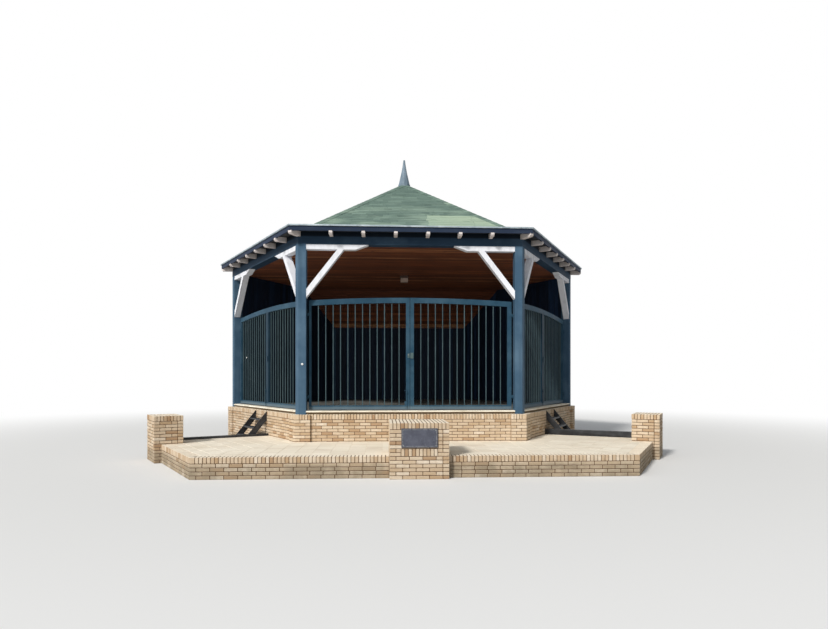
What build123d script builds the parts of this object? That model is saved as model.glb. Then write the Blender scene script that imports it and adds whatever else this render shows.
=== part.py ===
from build123d import *
import os
from math import cos, hypot, radians, sin, sqrt, tan

# Six-sided park bandstand on a brick platform, with a raised brick terrace round its front
# Millimetres, +Z up, front towards -Y, origin on the ground under the centre of the hexagon
# A side is drawn as the front one: X along it, Y minus the distance from the centre
# It is then turned about Z in steps of 60 degrees: front 0, front right 1, round to front left 5

# Plan: the frame's outer face from the centre to the middle of a side, and steps out from it
SIDES = 6
POST_OUT = 4000.0
PIER_PROUD = 102.0
PLINTH_PROUD = 50.0
EAVE_REACH = 274.0
TERRACE_WIDE = 2390.0

# Brick platform
GROUND_SLAB = 100.0
PLATFORM_TOP = 913.0
PIER_LEG = 310.0
FLOOR_RISE = 37.0
FLOOR_THICK = 120.0

# Posts and ring beam
POST_LEG = 155.0
POST_DEPTH = 210.0
POST_TALL = 3647.0
BEAM_TALL = 172.0

# Threshold under the gates and the boarded sides
SILL_SLAB = 35.0
SILL_RISE = 72.0
SILL_REACH = 10.0
SILL_RECESS = 25.0

# Gates: two leaves to an opening, the left one a little narrower
SEAM_SHIFT = 25.0
GATE_SIDE_GAP = 40.0
GATE_MEETING_GAP = 8.0
GATE_FOOT_GAP = 20.0
GATE_TALL = 2256.0
GATE_RISE = 70.0
GATE_SETBACK = 158.0
GATE_THICK = 46.0
TOP_RAIL = 110.0
LOW_RAIL = 85.0
LEFT_HINGE_STILE = 50.0
RIGHT_HINGE_STILE = 90.0
MEETING_STILE = 80.0
BARS = 12
BAR_WIDE = 18.0
BAR_THICK = 18.0
BAR_SEAT = 12.0

# Gate hinges, their pins in line with the outer face of the leaves
HINGES_UP = (245.0, 1945.0)
HINGE_REACH = 22.0
PIN_RADIUS = 7.0
PIN_LENGTH = 52.0
ARM_HALF = 8.0
ARM_THICK = 14.0
HINGE_PLATE = 4.0
HINGE_PLATE_WIDE = 48.0
HINGE_PLATE_HALF = 45.0
EYE_RADIUS = 13.0
EYE_HEIGHT = 44.0
RUNNING_GAP = 0.3

# Lock case on the right leaf and its keep on the left one
LOCK_UP = 1120.0
LOCK_WIDE = 70.0
LOCK_TALL = 126.0
LOCK_PROUD = 20.0
KEEP_WIDE = 48.0
KEEP_TALL = 96.0
KEEP_PROUD = 10.0

# Drop bolt on the left leaf, with its plate, two guides and a bent handle
BOLT_RADIUS = 7.0
BOLT_CLEAR = 7.0
BOLT_TALL = 415.0
BOLT_LOW_GAP = 8.0
BOLT_INSET = 66.0
BOLT_PLATE_WIDE = 108.0
BOLT_PLATE_TALL = 140.0
BOLT_PLATE_THICK = 5.0
BOLT_PLATE_UP = 26.0
GUIDE_WIDE = 34.0
GUIDE_TALL = 28.0
GUIDE_PROUD = 26.0
GUIDES_UP = (60.0, 330.0)
HANDLE_LONG = 48.0
HANDLE_RADIUS = 5.0

# Corbels and braces beside the open sides
CORBEL_LONG = 1270.0
CORBEL_TALL = 100.0
CORBEL_BEVEL = 265.0
BRACE_RUN = 700.0
BRACE_OVER_GATE = 124.0
BRACE_WIDE = 105.0
BRACE_THICK = 150.0
BRACE_SETBACK = 10.0

# Boarded back sides
BOARD_THICK = 60.0

# Ceiling and the sloping board hood in front of the rear wall
CEILING_DROP = 105.0
CEILING_THICK = 30.0
HOOD_RUN = 975.0
HOOD_HEADROOM = 2580.0
HOOD_BOARD = 185.0
HOOD_THICK = 30.0

# Ceiling lamp
LAMP_BASE = 230.0
LAMP_BASE_THICK = 25.0
LAMP_GLASS = 200.0
LAMP_DROP = 165.0
LAMP_FILLET = 22.0

# Rafter tails, deck and edge of the eaves
TAILS = 6
TAIL_PITCH = 655.0
TAIL_WIDE = 90.0
TAIL_TALL = 85.0
TAIL_SETBACK = 12.0
TAIL_SEAT = 280.0
HIP_TAIL_WIDE = 120.0
HIP_TAIL_LONG = 560.0
HIP_TAIL_SETBACK = 40.0
DECK_WIDE = 620.0
DECK_THICK = 38.0
FASCIA_THICK = 30.0
FASCIA_SETBACK = 24.0
FASCIA_UP = 42.0
FASCIA_LIP = 14.0
TRIM_WIDE = 40.0
TRIM_TALL = 30.0
BOARD_JOINT = 2.0

# Main roof
ROOF_SETBACK = 339.0
ROOF_RISE = 2281.0
ROOF_THICK = 50.0
ROOF_CUT_DROP = 90.0

# Finial
FINIAL_TALL = 668.0
FINIAL_TIP_RADIUS = 17.0
FINIAL_BEND_DROP = 195.0
FINIAL_BEND_RADIUS = 20.0
FINIAL_FOOT_RADIUS = 140.0
FINIAL_SKIRT_RADIUS = 151.0
FINIAL_SKIRT_TALL = 80.0
FINIAL_STAGES = 6
FINIAL_SIDES = 12

# Terrace
TERRACE_TOP = 360.0
TERRACE_WALL = 210.0
PAVING_THICK = 80.0
END_WALL = 105.0
END_WALL_BACK = 580.0

# Piers on the terrace wall
PLAQUE_PIER_WIDE = 975.0
PLAQUE_PIER_PROUD = 135.0
PLAQUE_PIER_DEEP = 970.0
PLAQUE_PIER_TOP = 913.0
FLANK_PIER_LONG = 790.0
FLANK_PIER_PROUD = 130.0
FLANK_PIER_DEEP = 540.0
FLANK_PIER_TOP = 913.0

# Plaque
PLAQUE_WIDE = 590.0
PLAQUE_TALL = 310.0
PLAQUE_THICK = 25.0
PLAQUE_DROP = 85.0
PLAQUE_RIM = 18.0
PLAQUE_RIM_DEPTH = 6.0

# Edging bars on the end walls
EDGE_BAR_LEFT = 50.0
EDGE_BAR_RIGHT = 130.0
EDGE_BAR_WIDE = 90.0

# Steel steps at the two oblique open sides
STEPS_OFFSET = 180.0
STEPS_WIDE = 760.0
STEPS_RUN = 766.0
RISERS = 5
STRINGER_THICK = 12.0
STRINGER_DEEP = 130.0
TREAD_DEEP = 150.0
TREAD_THICK = 30.0
TREAD_GAP = 0.3

# Names of the sides and the corners, counted from the front and from the front left corner
SIDE_NAMES = ("front", "front_right", "back_right", "back", "back_left", "front_left")
CORNER_NAMES = ("front_left", "front_right", "right", "back_right", "back_left", "left")
OPEN_SIDES = (0, 1, 5)
BOARDED_SIDES = (2, 3, 4)

# Angles, worked out from the above
STEP_ANGLE = 360.0 / SIDES
TAN30 = tan(radians(STEP_ANGLE / 2))
COS30 = cos(radians(STEP_ANGLE / 2))

# Distances out from the centre, worked out from the above
PIER_OUT = POST_OUT + PIER_PROUD
PLINTH_OUT = POST_OUT + PLINTH_PROUD
EAVE_OUT = POST_OUT + EAVE_REACH
TERRACE_OUT = PLINTH_OUT + TERRACE_WIDE
FRAME_IN = POST_OUT - POST_DEPTH
GATE_OUT = POST_OUT - GATE_SETBACK
GATE_IN = GATE_OUT - GATE_THICK
HINGE_OUT = GATE_OUT
HOOD_BACK = FRAME_IN - HOOD_THICK
HOOD_FRONT = HOOD_BACK - HOOD_RUN
TAIL_IN = POST_OUT - TAIL_SEAT
FASCIA_OUT = EAVE_OUT - FASCIA_SETBACK
FASCIA_IN = FASCIA_OUT - FASCIA_THICK
ROOF_OUT = EAVE_OUT - ROOF_SETBACK
PLAQUE_PIER_OUT = TERRACE_OUT + PLAQUE_PIER_PROUD
FLANK_PIER_OUT = TERRACE_OUT + FLANK_PIER_PROUD

# Heights, worked out from the above
FLOOR_TOP = PLATFORM_TOP + FLOOR_RISE
SILL_TOP = PLATFORM_TOP + SILL_RISE
BEAM_TOP = PLATFORM_TOP + POST_TALL
BEAM_LOW = BEAM_TOP - BEAM_TALL
GATE_LOW = SILL_TOP + GATE_FOOT_GAP
HINGE_HEIGHTS = tuple(GATE_LOW + up for up in HINGES_UP)
CEILING_LOW = BEAM_TOP - CEILING_DROP
HOOD_KNEE = FLOOR_TOP + HOOD_HEADROOM
HOOD_LOW = HOOD_KNEE - HOOD_BOARD
DECK_LOW = BEAM_TOP + TAIL_TALL
DECK_TOP = DECK_LOW + DECK_THICK
FASCIA_LOW = BEAM_TOP + FASCIA_UP
FASCIA_TOP = DECK_TOP + FASCIA_LIP
APEX = DECK_TOP + ROOF_RISE
ROOF_CUT = APEX - ROOF_CUT_DROP

# Distances along a side, worked out from the above
CLEAR_HALF = POST_OUT * TAN30 - POST_LEG
SHORT_SIDE_WALL = PIER_OUT * TAN30 - PIER_LEG
HINGE_X = CLEAR_HALF - HINGE_REACH


def turned(shape, step):
    """A shape drawn for the front side, at the side that many steps round."""
    return Rot(0, 0, STEP_ANGLE * step) * shape


def at_corner(shape, corner):
    """A shape drawn about a corner that points along -Y, at the numbered corner."""
    return Rot(0, 0, STEP_ANGLE * corner - STEP_ANGLE / 2) * shape


def prism(points, low, high):
    """An upright prism over a plan outline."""
    face = make_face(Polyline(*points, close=True))
    return Pos(0, 0, low) * extrude(face, amount=high - low, dir=(0, 0, 1))


def box(x0, x1, out_low, out_high, z0, z1):
    """A box on the front side, between two distances from the centre."""
    centre = ((x0 + x1) / 2, -(out_low + out_high) / 2, (z0 + z1) / 2)
    return Pos(*centre) * Box(abs(x1 - x0), out_high - out_low, z1 - z0)


def upright(face, out_low, out_high):
    """A plate on the front side, from a face drawn along the side and in height."""
    stood = Plane.XZ.offset(out_low) * face
    return extrude(stood, amount=out_high - out_low, dir=(0, -1, 0))


def upright_plate(points, out_low, out_high):
    """A plate on the front side with straight edges."""
    return upright(make_face(Polyline(*points, close=True)), out_low, out_high)


def hexagon(out, low, high):
    """A six-sided prism, its side middles at the given distance."""
    radius = out / COS30
    corners = [
        (radius * cos(radians(STEP_ANGLE * i)), radius * sin(radians(STEP_ANGLE * i)))
        for i in range(SIDES)
    ]
    return prism(corners, low, high)


def mitred(out_low, out_high, low, high, gap=0.0):
    """One side of a hexagonal ring, mitred at both ends."""
    half_low = out_low * TAN30 - gap
    half_high = out_high * TAN30 - gap
    outline = [
        (-half_high, -out_high),
        (half_high, -out_high),
        (half_low, -out_low),
        (-half_low, -out_low),
    ]
    return prism(outline, low, high)


def corner_block(out, leg, deep, low, high):
    """Two mitred square timbers or brick legs round a corner that points along -Y."""
    arris = -out / COS30
    inner = -(out - deep) / COS30
    along = (cos(radians(STEP_ANGLE / 2)), sin(radians(STEP_ANGLE / 2)))
    end = (along[0] * leg, arris + along[1] * leg)
    back = (end[0] - along[1] * deep, end[1] + along[0] * deep)
    outline = [
        (0, arris),
        end,
        back,
        (0, inner),
        (-back[0], back[1]),
        (-end[0], end[1]),
    ]
    return prism(outline, low, high)


def together(solids):
    """Solids that don't touch, kept apart in one node."""
    return Compound(children=list(solids))


# Platform


def pier_at(corner):
    pier = corner_block(PIER_OUT, PIER_LEG, PIER_OUT - FRAME_IN, 0, PLATFORM_TOP)
    return at_corner(pier, corner)


def platform_wall(step):
    wall = box(-SHORT_SIDE_WALL, SHORT_SIDE_WALL, FRAME_IN, PLINTH_OUT, 0, PLATFORM_TOP)
    return turned(wall, step)


def sill(step):
    half = CLEAR_HALF
    foot_high = SILL_TOP - SILL_SLAB
    foot = box(-half, half, FRAME_IN, POST_OUT - SILL_RECESS, PLATFORM_TOP, foot_high)
    slab = box(-half, half, FRAME_IN, POST_OUT + SILL_REACH, foot_high, SILL_TOP)
    return turned(foot + slab, step)


# Timber frame


def post(corner):
    return at_corner(corner_block(POST_OUT, POST_LEG, POST_DEPTH, PLATFORM_TOP, BEAM_TOP), corner)


def ring_beam(step):
    return turned(box(-CLEAR_HALF, CLEAR_HALF, FRAME_IN, POST_OUT, BEAM_LOW, BEAM_TOP), step)


def corbel_and_brace():
    """The set at the left post of the front side."""
    post_face = -CLEAR_HALF
    corbel_end = post_face + CORBEL_LONG
    corbel_low = BEAM_LOW - CORBEL_TALL
    outer = POST_OUT - BRACE_SETBACK
    inner = outer - BRACE_THICK
    corbel = upright_plate(
        [
            (post_face, corbel_low),
            (corbel_end - CORBEL_BEVEL, corbel_low),
            (corbel_end, BEAM_LOW),
            (post_face, BEAM_LOW),
        ],
        inner,
        outer,
    )
    foot = GATE_LOW + GATE_TALL + BRACE_OVER_GATE
    rise = corbel_low - foot
    slant = hypot(BRACE_RUN, rise)
    half_along = BRACE_WIDE / 2 * slant / rise
    half_up = BRACE_WIDE / 2 * slant / BRACE_RUN
    brace_top = post_face + BRACE_RUN
    brace = upright_plate(
        [
            (post_face, foot - half_up),
            (brace_top + half_along, corbel_low),
            (brace_top - half_along, corbel_low),
            (post_face, foot + half_up),
        ],
        inner,
        outer,
    )
    return corbel + brace


def braces(step):
    left = corbel_and_brace()
    return together([turned(left, step), turned(mirror(left, about=Plane.YZ), step)])


def boarded_side(step):
    panel = box(-CLEAR_HALF, CLEAR_HALF, FRAME_IN, FRAME_IN + BOARD_THICK, SILL_TOP, BEAM_LOW)
    return turned(panel, step)


# Gates


def arch_height(x, drop):
    """Height of the gates' arched top at a place along the side, less a rail's depth."""
    half = CLEAR_HALF - GATE_SIDE_GAP
    radius = (half**2 + GATE_RISE**2) / (2 * GATE_RISE)
    return GATE_LOW + GATE_TALL + GATE_RISE - radius + sqrt(radius**2 - x**2) - drop


def leaf_outline(x0, x1, low, drop):
    """A face with a straight foot and sides, and a stretch of the arch on top."""
    middle = (x0 + x1) / 2
    arch = ThreePointArc(
        (x0, arch_height(x0, drop)),
        (middle, arch_height(middle, drop)),
        (x1, arch_height(x1, drop)),
    )
    rest = Polyline((x1, arch_height(x1, drop)), (x1, low), (x0, low), (x0, arch_height(x0, drop)))
    return make_face([arch, rest])


def hinge_eye(height):
    """The eye that turns on a hinge pin, with its strap to the leaf."""
    low = height + RUNNING_GAP
    high = low + EYE_HEIGHT
    ring = Pos(-HINGE_X, -HINGE_OUT, (low + high) / 2) * Cylinder(EYE_RADIUS, EYE_HEIGHT)
    seat = -CLEAR_HALF + GATE_SIDE_GAP + BAR_SEAT
    return ring + box(-HINGE_X, seat, HINGE_OUT - ARM_HALF, HINGE_OUT + ARM_HALF, low, high)


def gate_bars(x0, x1):
    """The upright bars across a leaf's window, evenly spaced, their ends let into the rails."""
    gap = (x1 - x0 - BARS * BAR_WIDE) / (BARS + 1)
    middle_out = GATE_OUT - GATE_THICK / 2
    bars = []
    for i in range(BARS):
        low_x = x0 + gap * (i + 1) + BAR_WIDE * i
        bars.append(
            box(
                low_x,
                low_x + BAR_WIDE,
                middle_out - BAR_THICK / 2,
                middle_out + BAR_THICK / 2,
                GATE_LOW + LOW_RAIL - BAR_SEAT,
                arch_height(low_x, TOP_RAIL) + BAR_SEAT,
            )
        )
    return bars


def lock_part(edge, wide, tall, proud):
    """A lock's case or keep, on the meeting stile up to the leaf's edge."""
    middle = GATE_LOW + LOCK_UP
    return box(edge - wide, edge, GATE_OUT, GATE_OUT + proud, middle - tall / 2, middle + tall / 2)


def drop_bolt(edge):
    """The rod on the outside of the meeting stile, just clear of the sill, with what holds it."""
    x = edge - BOLT_INSET
    out = GATE_OUT + BOLT_CLEAR + BOLT_RADIUS
    low = SILL_TOP + BOLT_LOW_GAP
    high = low + BOLT_TALL
    rod = Pos(x, -out, (low + high) / 2) * Cylinder(BOLT_RADIUS, BOLT_TALL)
    handle = Pos(x - HANDLE_LONG / 2, -out, high - 2 * HANDLE_RADIUS) * Rot(0, 90, 0)
    handle = handle * Cylinder(HANDLE_RADIUS, HANDLE_LONG)
    plate_low = GATE_LOW + BOLT_PLATE_UP
    plate = box(
        edge - BOLT_PLATE_WIDE,
        edge,
        GATE_OUT,
        GATE_OUT + BOLT_PLATE_THICK,
        plate_low,
        plate_low + BOLT_PLATE_TALL,
    )
    guides = [
        box(x - GUIDE_WIDE / 2, x + GUIDE_WIDE / 2, GATE_OUT, GATE_OUT + GUIDE_PROUD,
            GATE_LOW + up, GATE_LOW + up + GUIDE_TALL)
        for up in GUIDES_UP
    ]
    return [rod, handle, plate] + guides


def gate_leaf(edge, hinge_stile, fittings):
    """A left leaf of the front gates, up to its meeting edge."""
    x0 = -CLEAR_HALF + GATE_SIDE_GAP
    window_x0 = x0 + hinge_stile
    window_x1 = edge - MEETING_STILE
    whole = leaf_outline(x0, edge, GATE_LOW, 0)
    window = leaf_outline(window_x0, window_x1, GATE_LOW + LOW_RAIL, TOP_RAIL)
    frame = upright(whole, GATE_IN, GATE_OUT) - upright(window, GATE_IN, GATE_OUT)
    eyes = [hinge_eye(height) for height in HINGE_HEIGHTS]
    bores = [
        Pos(-HINGE_X, -HINGE_OUT, height) * Cylinder(PIN_RADIUS + RUNNING_GAP, PIN_LENGTH * 3)
        for height in HINGE_HEIGHTS
    ]
    return frame + gate_bars(window_x0, window_x1) + eyes + fittings - bores


def left_leaf():
    edge = -SEAM_SHIFT - GATE_MEETING_GAP / 2
    keep = lock_part(edge, KEEP_WIDE, KEEP_TALL, KEEP_PROUD)
    return gate_leaf(edge, LEFT_HINGE_STILE, drop_bolt(edge) + [keep])


def right_leaf():
    edge = SEAM_SHIFT - GATE_MEETING_GAP / 2
    case = lock_part(edge, LOCK_WIDE, LOCK_TALL, LOCK_PROUD)
    return mirror(gate_leaf(edge, RIGHT_HINGE_STILE, [case]), about=Plane.YZ)


def hinge_pin(height):
    """Plate, arm and pin on the left post of the front side."""
    face = -CLEAR_HALF
    plate_out = HINGE_OUT + ARM_HALF
    plate = box(
        face,
        face + HINGE_PLATE,
        plate_out - HINGE_PLATE_WIDE,
        plate_out,
        height - ARM_THICK / 2 - HINGE_PLATE_HALF,
        height - ARM_THICK / 2 + HINGE_PLATE_HALF,
    )
    arm = box(face, -HINGE_X + ARM_HALF, HINGE_OUT - ARM_HALF, HINGE_OUT + ARM_HALF,
              height - ARM_THICK, height)
    pin = Pos(-HINGE_X, -HINGE_OUT, height + PIN_LENGTH / 2) * Cylinder(PIN_RADIUS, PIN_LENGTH)
    return plate + arm + pin


def hinge_pins(step):
    left = [hinge_pin(height) for height in HINGE_HEIGHTS]
    right = [mirror(pin, about=Plane.YZ) for pin in left]
    return together([turned(pin, step) for pin in left + right])


# Ceiling


def ceiling():
    boards = hexagon(FRAME_IN, CEILING_LOW, CEILING_LOW + CEILING_THICK)
    behind = box(-POST_OUT, POST_OUT, -2 * POST_OUT, -HOOD_FRONT, 0, APEX)
    return boards - behind


def hood():
    """Sloping boards down to the rear wall, and a short upright board against it."""
    slope = (HOOD_KNEE - CEILING_LOW) / (HOOD_BACK - HOOD_FRONT)
    lift = HOOD_THICK * sqrt(1 + slope**2)
    top = CEILING_LOW + CEILING_THICK
    top_y = HOOD_FRONT + (CEILING_LOW + lift - top) / -slope
    outline = [
        (HOOD_FRONT, CEILING_LOW),
        (HOOD_BACK, HOOD_KNEE),
        (HOOD_BACK, HOOD_LOW),
        (FRAME_IN, HOOD_LOW),
        (FRAME_IN, HOOD_KNEE + lift + slope * HOOD_THICK),
        (top_y, top),
        (HOOD_FRONT, top),
    ]
    section = Plane.YZ.offset(-POST_OUT) * make_face(Polyline(*outline, close=True))
    bent = extrude(section, amount=2 * POST_OUT, dir=(1, 0, 0))
    return bent & hexagon(FRAME_IN, 0, APEX)


def lamp():
    base_low = CEILING_LOW - LAMP_BASE_THICK
    glass_low = CEILING_LOW - LAMP_DROP
    base = Pos(0, 0, (base_low + CEILING_LOW) / 2) * Box(LAMP_BASE, LAMP_BASE, LAMP_BASE_THICK)
    glass = Box(LAMP_GLASS, LAMP_GLASS, base_low - glass_low)
    glass = fillet(glass.edges().filter_by(Axis.Z), LAMP_FILLET)
    return base + Pos(0, 0, (glass_low + base_low) / 2) * glass


# Eaves and roof


def rafter_tail(i):
    middle = (i - (TAILS - 1) / 2) * TAIL_PITCH
    return box(
        middle - TAIL_WIDE / 2,
        middle + TAIL_WIDE / 2,
        TAIL_IN,
        EAVE_OUT - TAIL_SETBACK,
        BEAM_TOP,
        DECK_LOW,
    )


def hip_tail():
    """The wider tail over a corner that points along -Y."""
    outer = EAVE_OUT / COS30 - HIP_TAIL_SETBACK
    half = HIP_TAIL_WIDE / 2
    return box(-half, half, outer - HIP_TAIL_LONG, outer, BEAM_TOP, DECK_LOW)


def fascia(step):
    board = mitred(FASCIA_IN, FASCIA_OUT, FASCIA_LOW, FASCIA_TOP, BOARD_JOINT)
    for i in range(TAILS):
        board -= rafter_tail(i)
    for corner in (0, 1):
        board -= at_corner(hip_tail(), corner)
    return turned(board, step)


def eave_deck(step):
    return turned(mitred(FASCIA_IN - DECK_WIDE, FASCIA_IN, DECK_LOW, DECK_TOP, BOARD_JOINT), step)


def eave_trim(step):
    """The pale edge strip that lies on the fascia."""
    high = FASCIA_TOP + TRIM_TALL
    return turned(mitred(EAVE_OUT - TRIM_WIDE, EAVE_OUT, FASCIA_TOP, high, BOARD_JOINT), step)


def roof_side(step):
    """One sloping side, mitred at the hips and cut level at foot and top."""
    rise = ROOF_RISE
    run = ROOF_OUT
    normal = Vector(0, -rise, run).normalized()
    foot = Plane(origin=(0, -run, DECK_TOP), x_dir=(1, 0, 0), z_dir=normal)
    length = hypot(run, rise)
    sheet = make_face(Polyline((-run, 0), (run, 0), (run, length), (-run, length), close=True))
    slab = extrude(foot * sheet, amount=ROOF_THICK, dir=-normal)
    half = run * TAN30 * 2
    wedge = prism([(0, -BOARD_JOINT / TAN30), (half, -run * 2), (-half, -run * 2)], DECK_TOP, ROOF_CUT)
    return turned(slab & wedge, step)


def finial():
    """Flared spike folded from sheet metal, on a short skirt with as many sides."""
    skirt_top = ROOF_CUT + FINIAL_SKIRT_TALL
    tip = skirt_top + FINIAL_TALL
    flare = Bezier(
        (FINIAL_FOOT_RADIUS, 0, skirt_top),
        (FINIAL_BEND_RADIUS, 0, tip - FINIAL_BEND_DROP),
        (FINIAL_TIP_RADIUS, 0, tip),
    )
    places = [flare @ (i / FINIAL_STAGES) for i in range(FINIAL_STAGES + 1)]
    sections = [Pos(0, 0, at.Z) * RegularPolygon(at.X, FINIAL_SIDES) for at in places]
    skirt_plan = Pos(0, 0, ROOF_CUT) * RegularPolygon(FINIAL_SKIRT_RADIUS, FINIAL_SIDES)
    skirt = extrude(skirt_plan, amount=FINIAL_SKIRT_TALL, dir=(0, 0, 1))
    return loft(sections, ruled=True) + skirt


# Terrace


def plaque_pier():
    half = PLAQUE_PIER_WIDE / 2
    return box(-half, half, PLAQUE_PIER_OUT - PLAQUE_PIER_DEEP, PLAQUE_PIER_OUT, 0, PLAQUE_PIER_TOP)


def plaque():
    half = PLAQUE_WIDE / 2
    high = PLAQUE_PIER_TOP - PLAQUE_DROP
    low = high - PLAQUE_TALL
    outer = PLAQUE_PIER_OUT + PLAQUE_THICK
    slab = box(-half, half, PLAQUE_PIER_OUT, outer, low, high)
    rim = PLAQUE_RIM
    field = box(-half + rim, half - rim, outer - PLAQUE_RIM_DEPTH, outer, low + rim, high - rim)
    return slab - field


def terrace_front_wall():
    """The left half of the front wall, from the corner to the plaque pier."""
    wall = mitred(TERRACE_OUT - TERRACE_WALL, TERRACE_OUT, 0, TERRACE_TOP)
    half = PLAQUE_PIER_WIDE / 2
    return wall - box(-half, TERRACE_OUT, 0, TERRACE_OUT * 2, -TERRACE_TOP, TERRACE_TOP * 2)


def flank_pier():
    """The pier at the end of the right flank, drawn on the front side."""
    high_x = -END_WALL_BACK
    return box(
        high_x - FLANK_PIER_LONG,
        high_x,
        FLANK_PIER_OUT - FLANK_PIER_DEEP,
        FLANK_PIER_OUT,
        0,
        FLANK_PIER_TOP,
    )


def flank_wall():
    """The right flank wall, drawn on the front side, up to its pier."""
    wall = mitred(TERRACE_OUT - TERRACE_WALL, TERRACE_OUT, 0, TERRACE_TOP)
    pier_x = -END_WALL_BACK - FLANK_PIER_LONG
    return wall - box(pier_x, TERRACE_OUT, 0, TERRACE_OUT * 2, -TERRACE_TOP, TERRACE_TOP * 2)


def end_wall():
    """The low wall that closes the right flank, from the platform to the pier."""
    inner = FLANK_PIER_OUT - FLANK_PIER_DEEP
    return box(-END_WALL_BACK - END_WALL, -END_WALL_BACK, PLINTH_OUT, inner, 0, TERRACE_TOP)


def edge_bar(tall):
    """The dark edging bar that lies on the end wall."""
    inner = FLANK_PIER_OUT - FLANK_PIER_DEEP
    low_x = -END_WALL_BACK - (END_WALL + EDGE_BAR_WIDE) / 2
    return box(low_x, low_x + EDGE_BAR_WIDE, PLINTH_OUT, inner, TERRACE_TOP, TERRACE_TOP + tall)


def paving_front():
    inner = PLINTH_OUT
    outer = TERRACE_OUT - TERRACE_WALL
    low = TERRACE_TOP - PAVING_THICK
    slab = mitred(inner, outer, low, TERRACE_TOP, BOARD_JOINT / 2)
    slab -= plaque_pier()
    for corner in (0, 1):
        slab -= pier_at(corner)
    return slab


def paving_flank():
    """Paving beside the right flank, drawn on the front side."""
    inner = PLINTH_OUT
    outer = TERRACE_OUT - TERRACE_WALL
    low = TERRACE_TOP - PAVING_THICK
    slab = mitred(inner, outer, low, TERRACE_TOP, BOARD_JOINT / 2)
    slab -= box(-END_WALL_BACK - END_WALL, TERRACE_OUT, 0, TERRACE_OUT * 2, 0, TERRACE_TOP * 2)
    slab -= flank_pier()
    slab -= pier_at(0)
    return slab


# Steps


def step_flight():
    """Stringers and treads at the right oblique side, drawn on the front side."""
    middle = -STEPS_OFFSET
    half = STEPS_WIDE / 2
    riser = PLATFORM_TOP / RISERS
    slope = PLATFORM_TOP / STEPS_RUN
    lift = STRINGER_DEEP * hypot(1, slope)
    top_run = lift / slope
    wall_face = PLINTH_OUT
    outline = [
        (wall_face, PLATFORM_TOP),
        (wall_face, PLATFORM_TOP - lift),
        (wall_face + STEPS_RUN - top_run, 0),
        (wall_face + STEPS_RUN, 0),
    ]
    side_view = Plane(origin=(0, 0, 0), x_dir=(0, -1, 0), z_dir=(-1, 0, 0))
    face = side_view * make_face(Polyline(*outline, close=True))
    plate = extrude(face, amount=STRINGER_THICK, dir=(1, 0, 0))
    left = Pos(middle - half, 0, 0) * plate
    right = Pos(middle + half - STRINGER_THICK, 0, 0) * plate
    tread_half = half - STRINGER_THICK - TREAD_GAP
    treads = []
    for i in range(1, RISERS):
        top = PLATFORM_TOP - riser * i
        nose = wall_face + riser * i / slope
        treads.append(
            box(middle - tread_half, middle + tread_half, nose - TREAD_DEEP, nose,
                top - TREAD_THICK, top)
        )
    return [left, right], treads


# Writing the nodes


def at_right(shape):
    return turned(shape, 1)


def at_left(shape):
    return mirror(turned(shape, 1), about=Plane.YZ)


def nodes():
    """Every node of the model by name."""
    found = {}
    found["ground_slab"] = hexagon(FRAME_IN, 0, GROUND_SLAB)
    found["platform_floor"] = hexagon(FRAME_IN, FLOOR_TOP - FLOOR_THICK, FLOOR_TOP)
    found["platform_corner_piers"] = together([pier_at(i) for i in range(SIDES)])
    for step in OPEN_SIDES:
        found["platform_wall_" + SIDE_NAMES[step]] = platform_wall(step)
    found["platform_walls_back"] = together([platform_wall(i) for i in BOARDED_SIDES])
    found["sills"] = together([sill(i) for i in range(SIDES)])
    for corner in range(SIDES):
        found["post_" + CORNER_NAMES[corner]] = post(corner)
    for step in OPEN_SIDES:
        found["beam_" + SIDE_NAMES[step]] = ring_beam(step)
    found["beams_back"] = together([ring_beam(i) for i in BOARDED_SIDES])
    for step in OPEN_SIDES:
        found["braces_" + SIDE_NAMES[step]] = braces(step)
        found["hinge_pins_" + SIDE_NAMES[step]] = hinge_pins(step)
        found["gate_" + SIDE_NAMES[step] + "_a"] = turned(left_leaf(), step)
        found["gate_" + SIDE_NAMES[step] + "_b"] = turned(right_leaf(), step)
    for step in BOARDED_SIDES:
        found["boarded_side_" + SIDE_NAMES[step]] = boarded_side(step)
    found["ceiling"] = ceiling()
    found["rear_hood"] = hood()
    found["ceiling_lamp"] = lamp()
    tails = [turned(rafter_tail(i), step) for step in range(SIDES) for i in range(TAILS)]
    found["rafter_tails"] = together(tails)
    found["hip_tails"] = together([at_corner(hip_tail(), i) for i in range(SIDES)])
    found["fascias"] = together([fascia(i) for i in range(SIDES)])
    found["eave_deck"] = together([eave_deck(i) for i in range(SIDES)])
    found["eave_trim"] = together([eave_trim(i) for i in range(SIDES)])
    found["roof"] = together([roof_side(i) for i in range(SIDES)])
    found["finial"] = finial()
    found["plaque_pier"] = plaque_pier()
    found["plaque"] = plaque()
    left_wall = terrace_front_wall()
    found["terrace_wall_front_left"] = left_wall
    found["terrace_wall_front_right"] = mirror(left_wall, about=Plane.YZ)
    flank_places = (("right", at_right, EDGE_BAR_RIGHT), ("left", at_left, EDGE_BAR_LEFT))
    stringers, treads = step_flight()
    for name, place, bar in flank_places:
        found["terrace_wall_" + name] = place(flank_wall())
        found["terrace_end_wall_" + name] = place(end_wall())
        found["terrace_edge_bar_" + name] = place(edge_bar(bar))
        found["terrace_pier_" + name] = place(flank_pier())
        found["steps_" + name] = together([place(shape) for shape in stringers + treads])
    found["terrace_paving"] = together(
        [paving_front(), at_right(paving_flank()), at_left(paving_flank())]
    )
    return found


os.makedirs("parts", exist_ok=True)
for node_name, shape in nodes().items():
    export_step(shape, "parts/" + node_name + ".step")
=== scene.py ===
import bpy
import random
from itertools import product
from math import atan2, cos, hypot, pi, radians, sin, tan
from mathutils import Matrix, Vector

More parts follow.
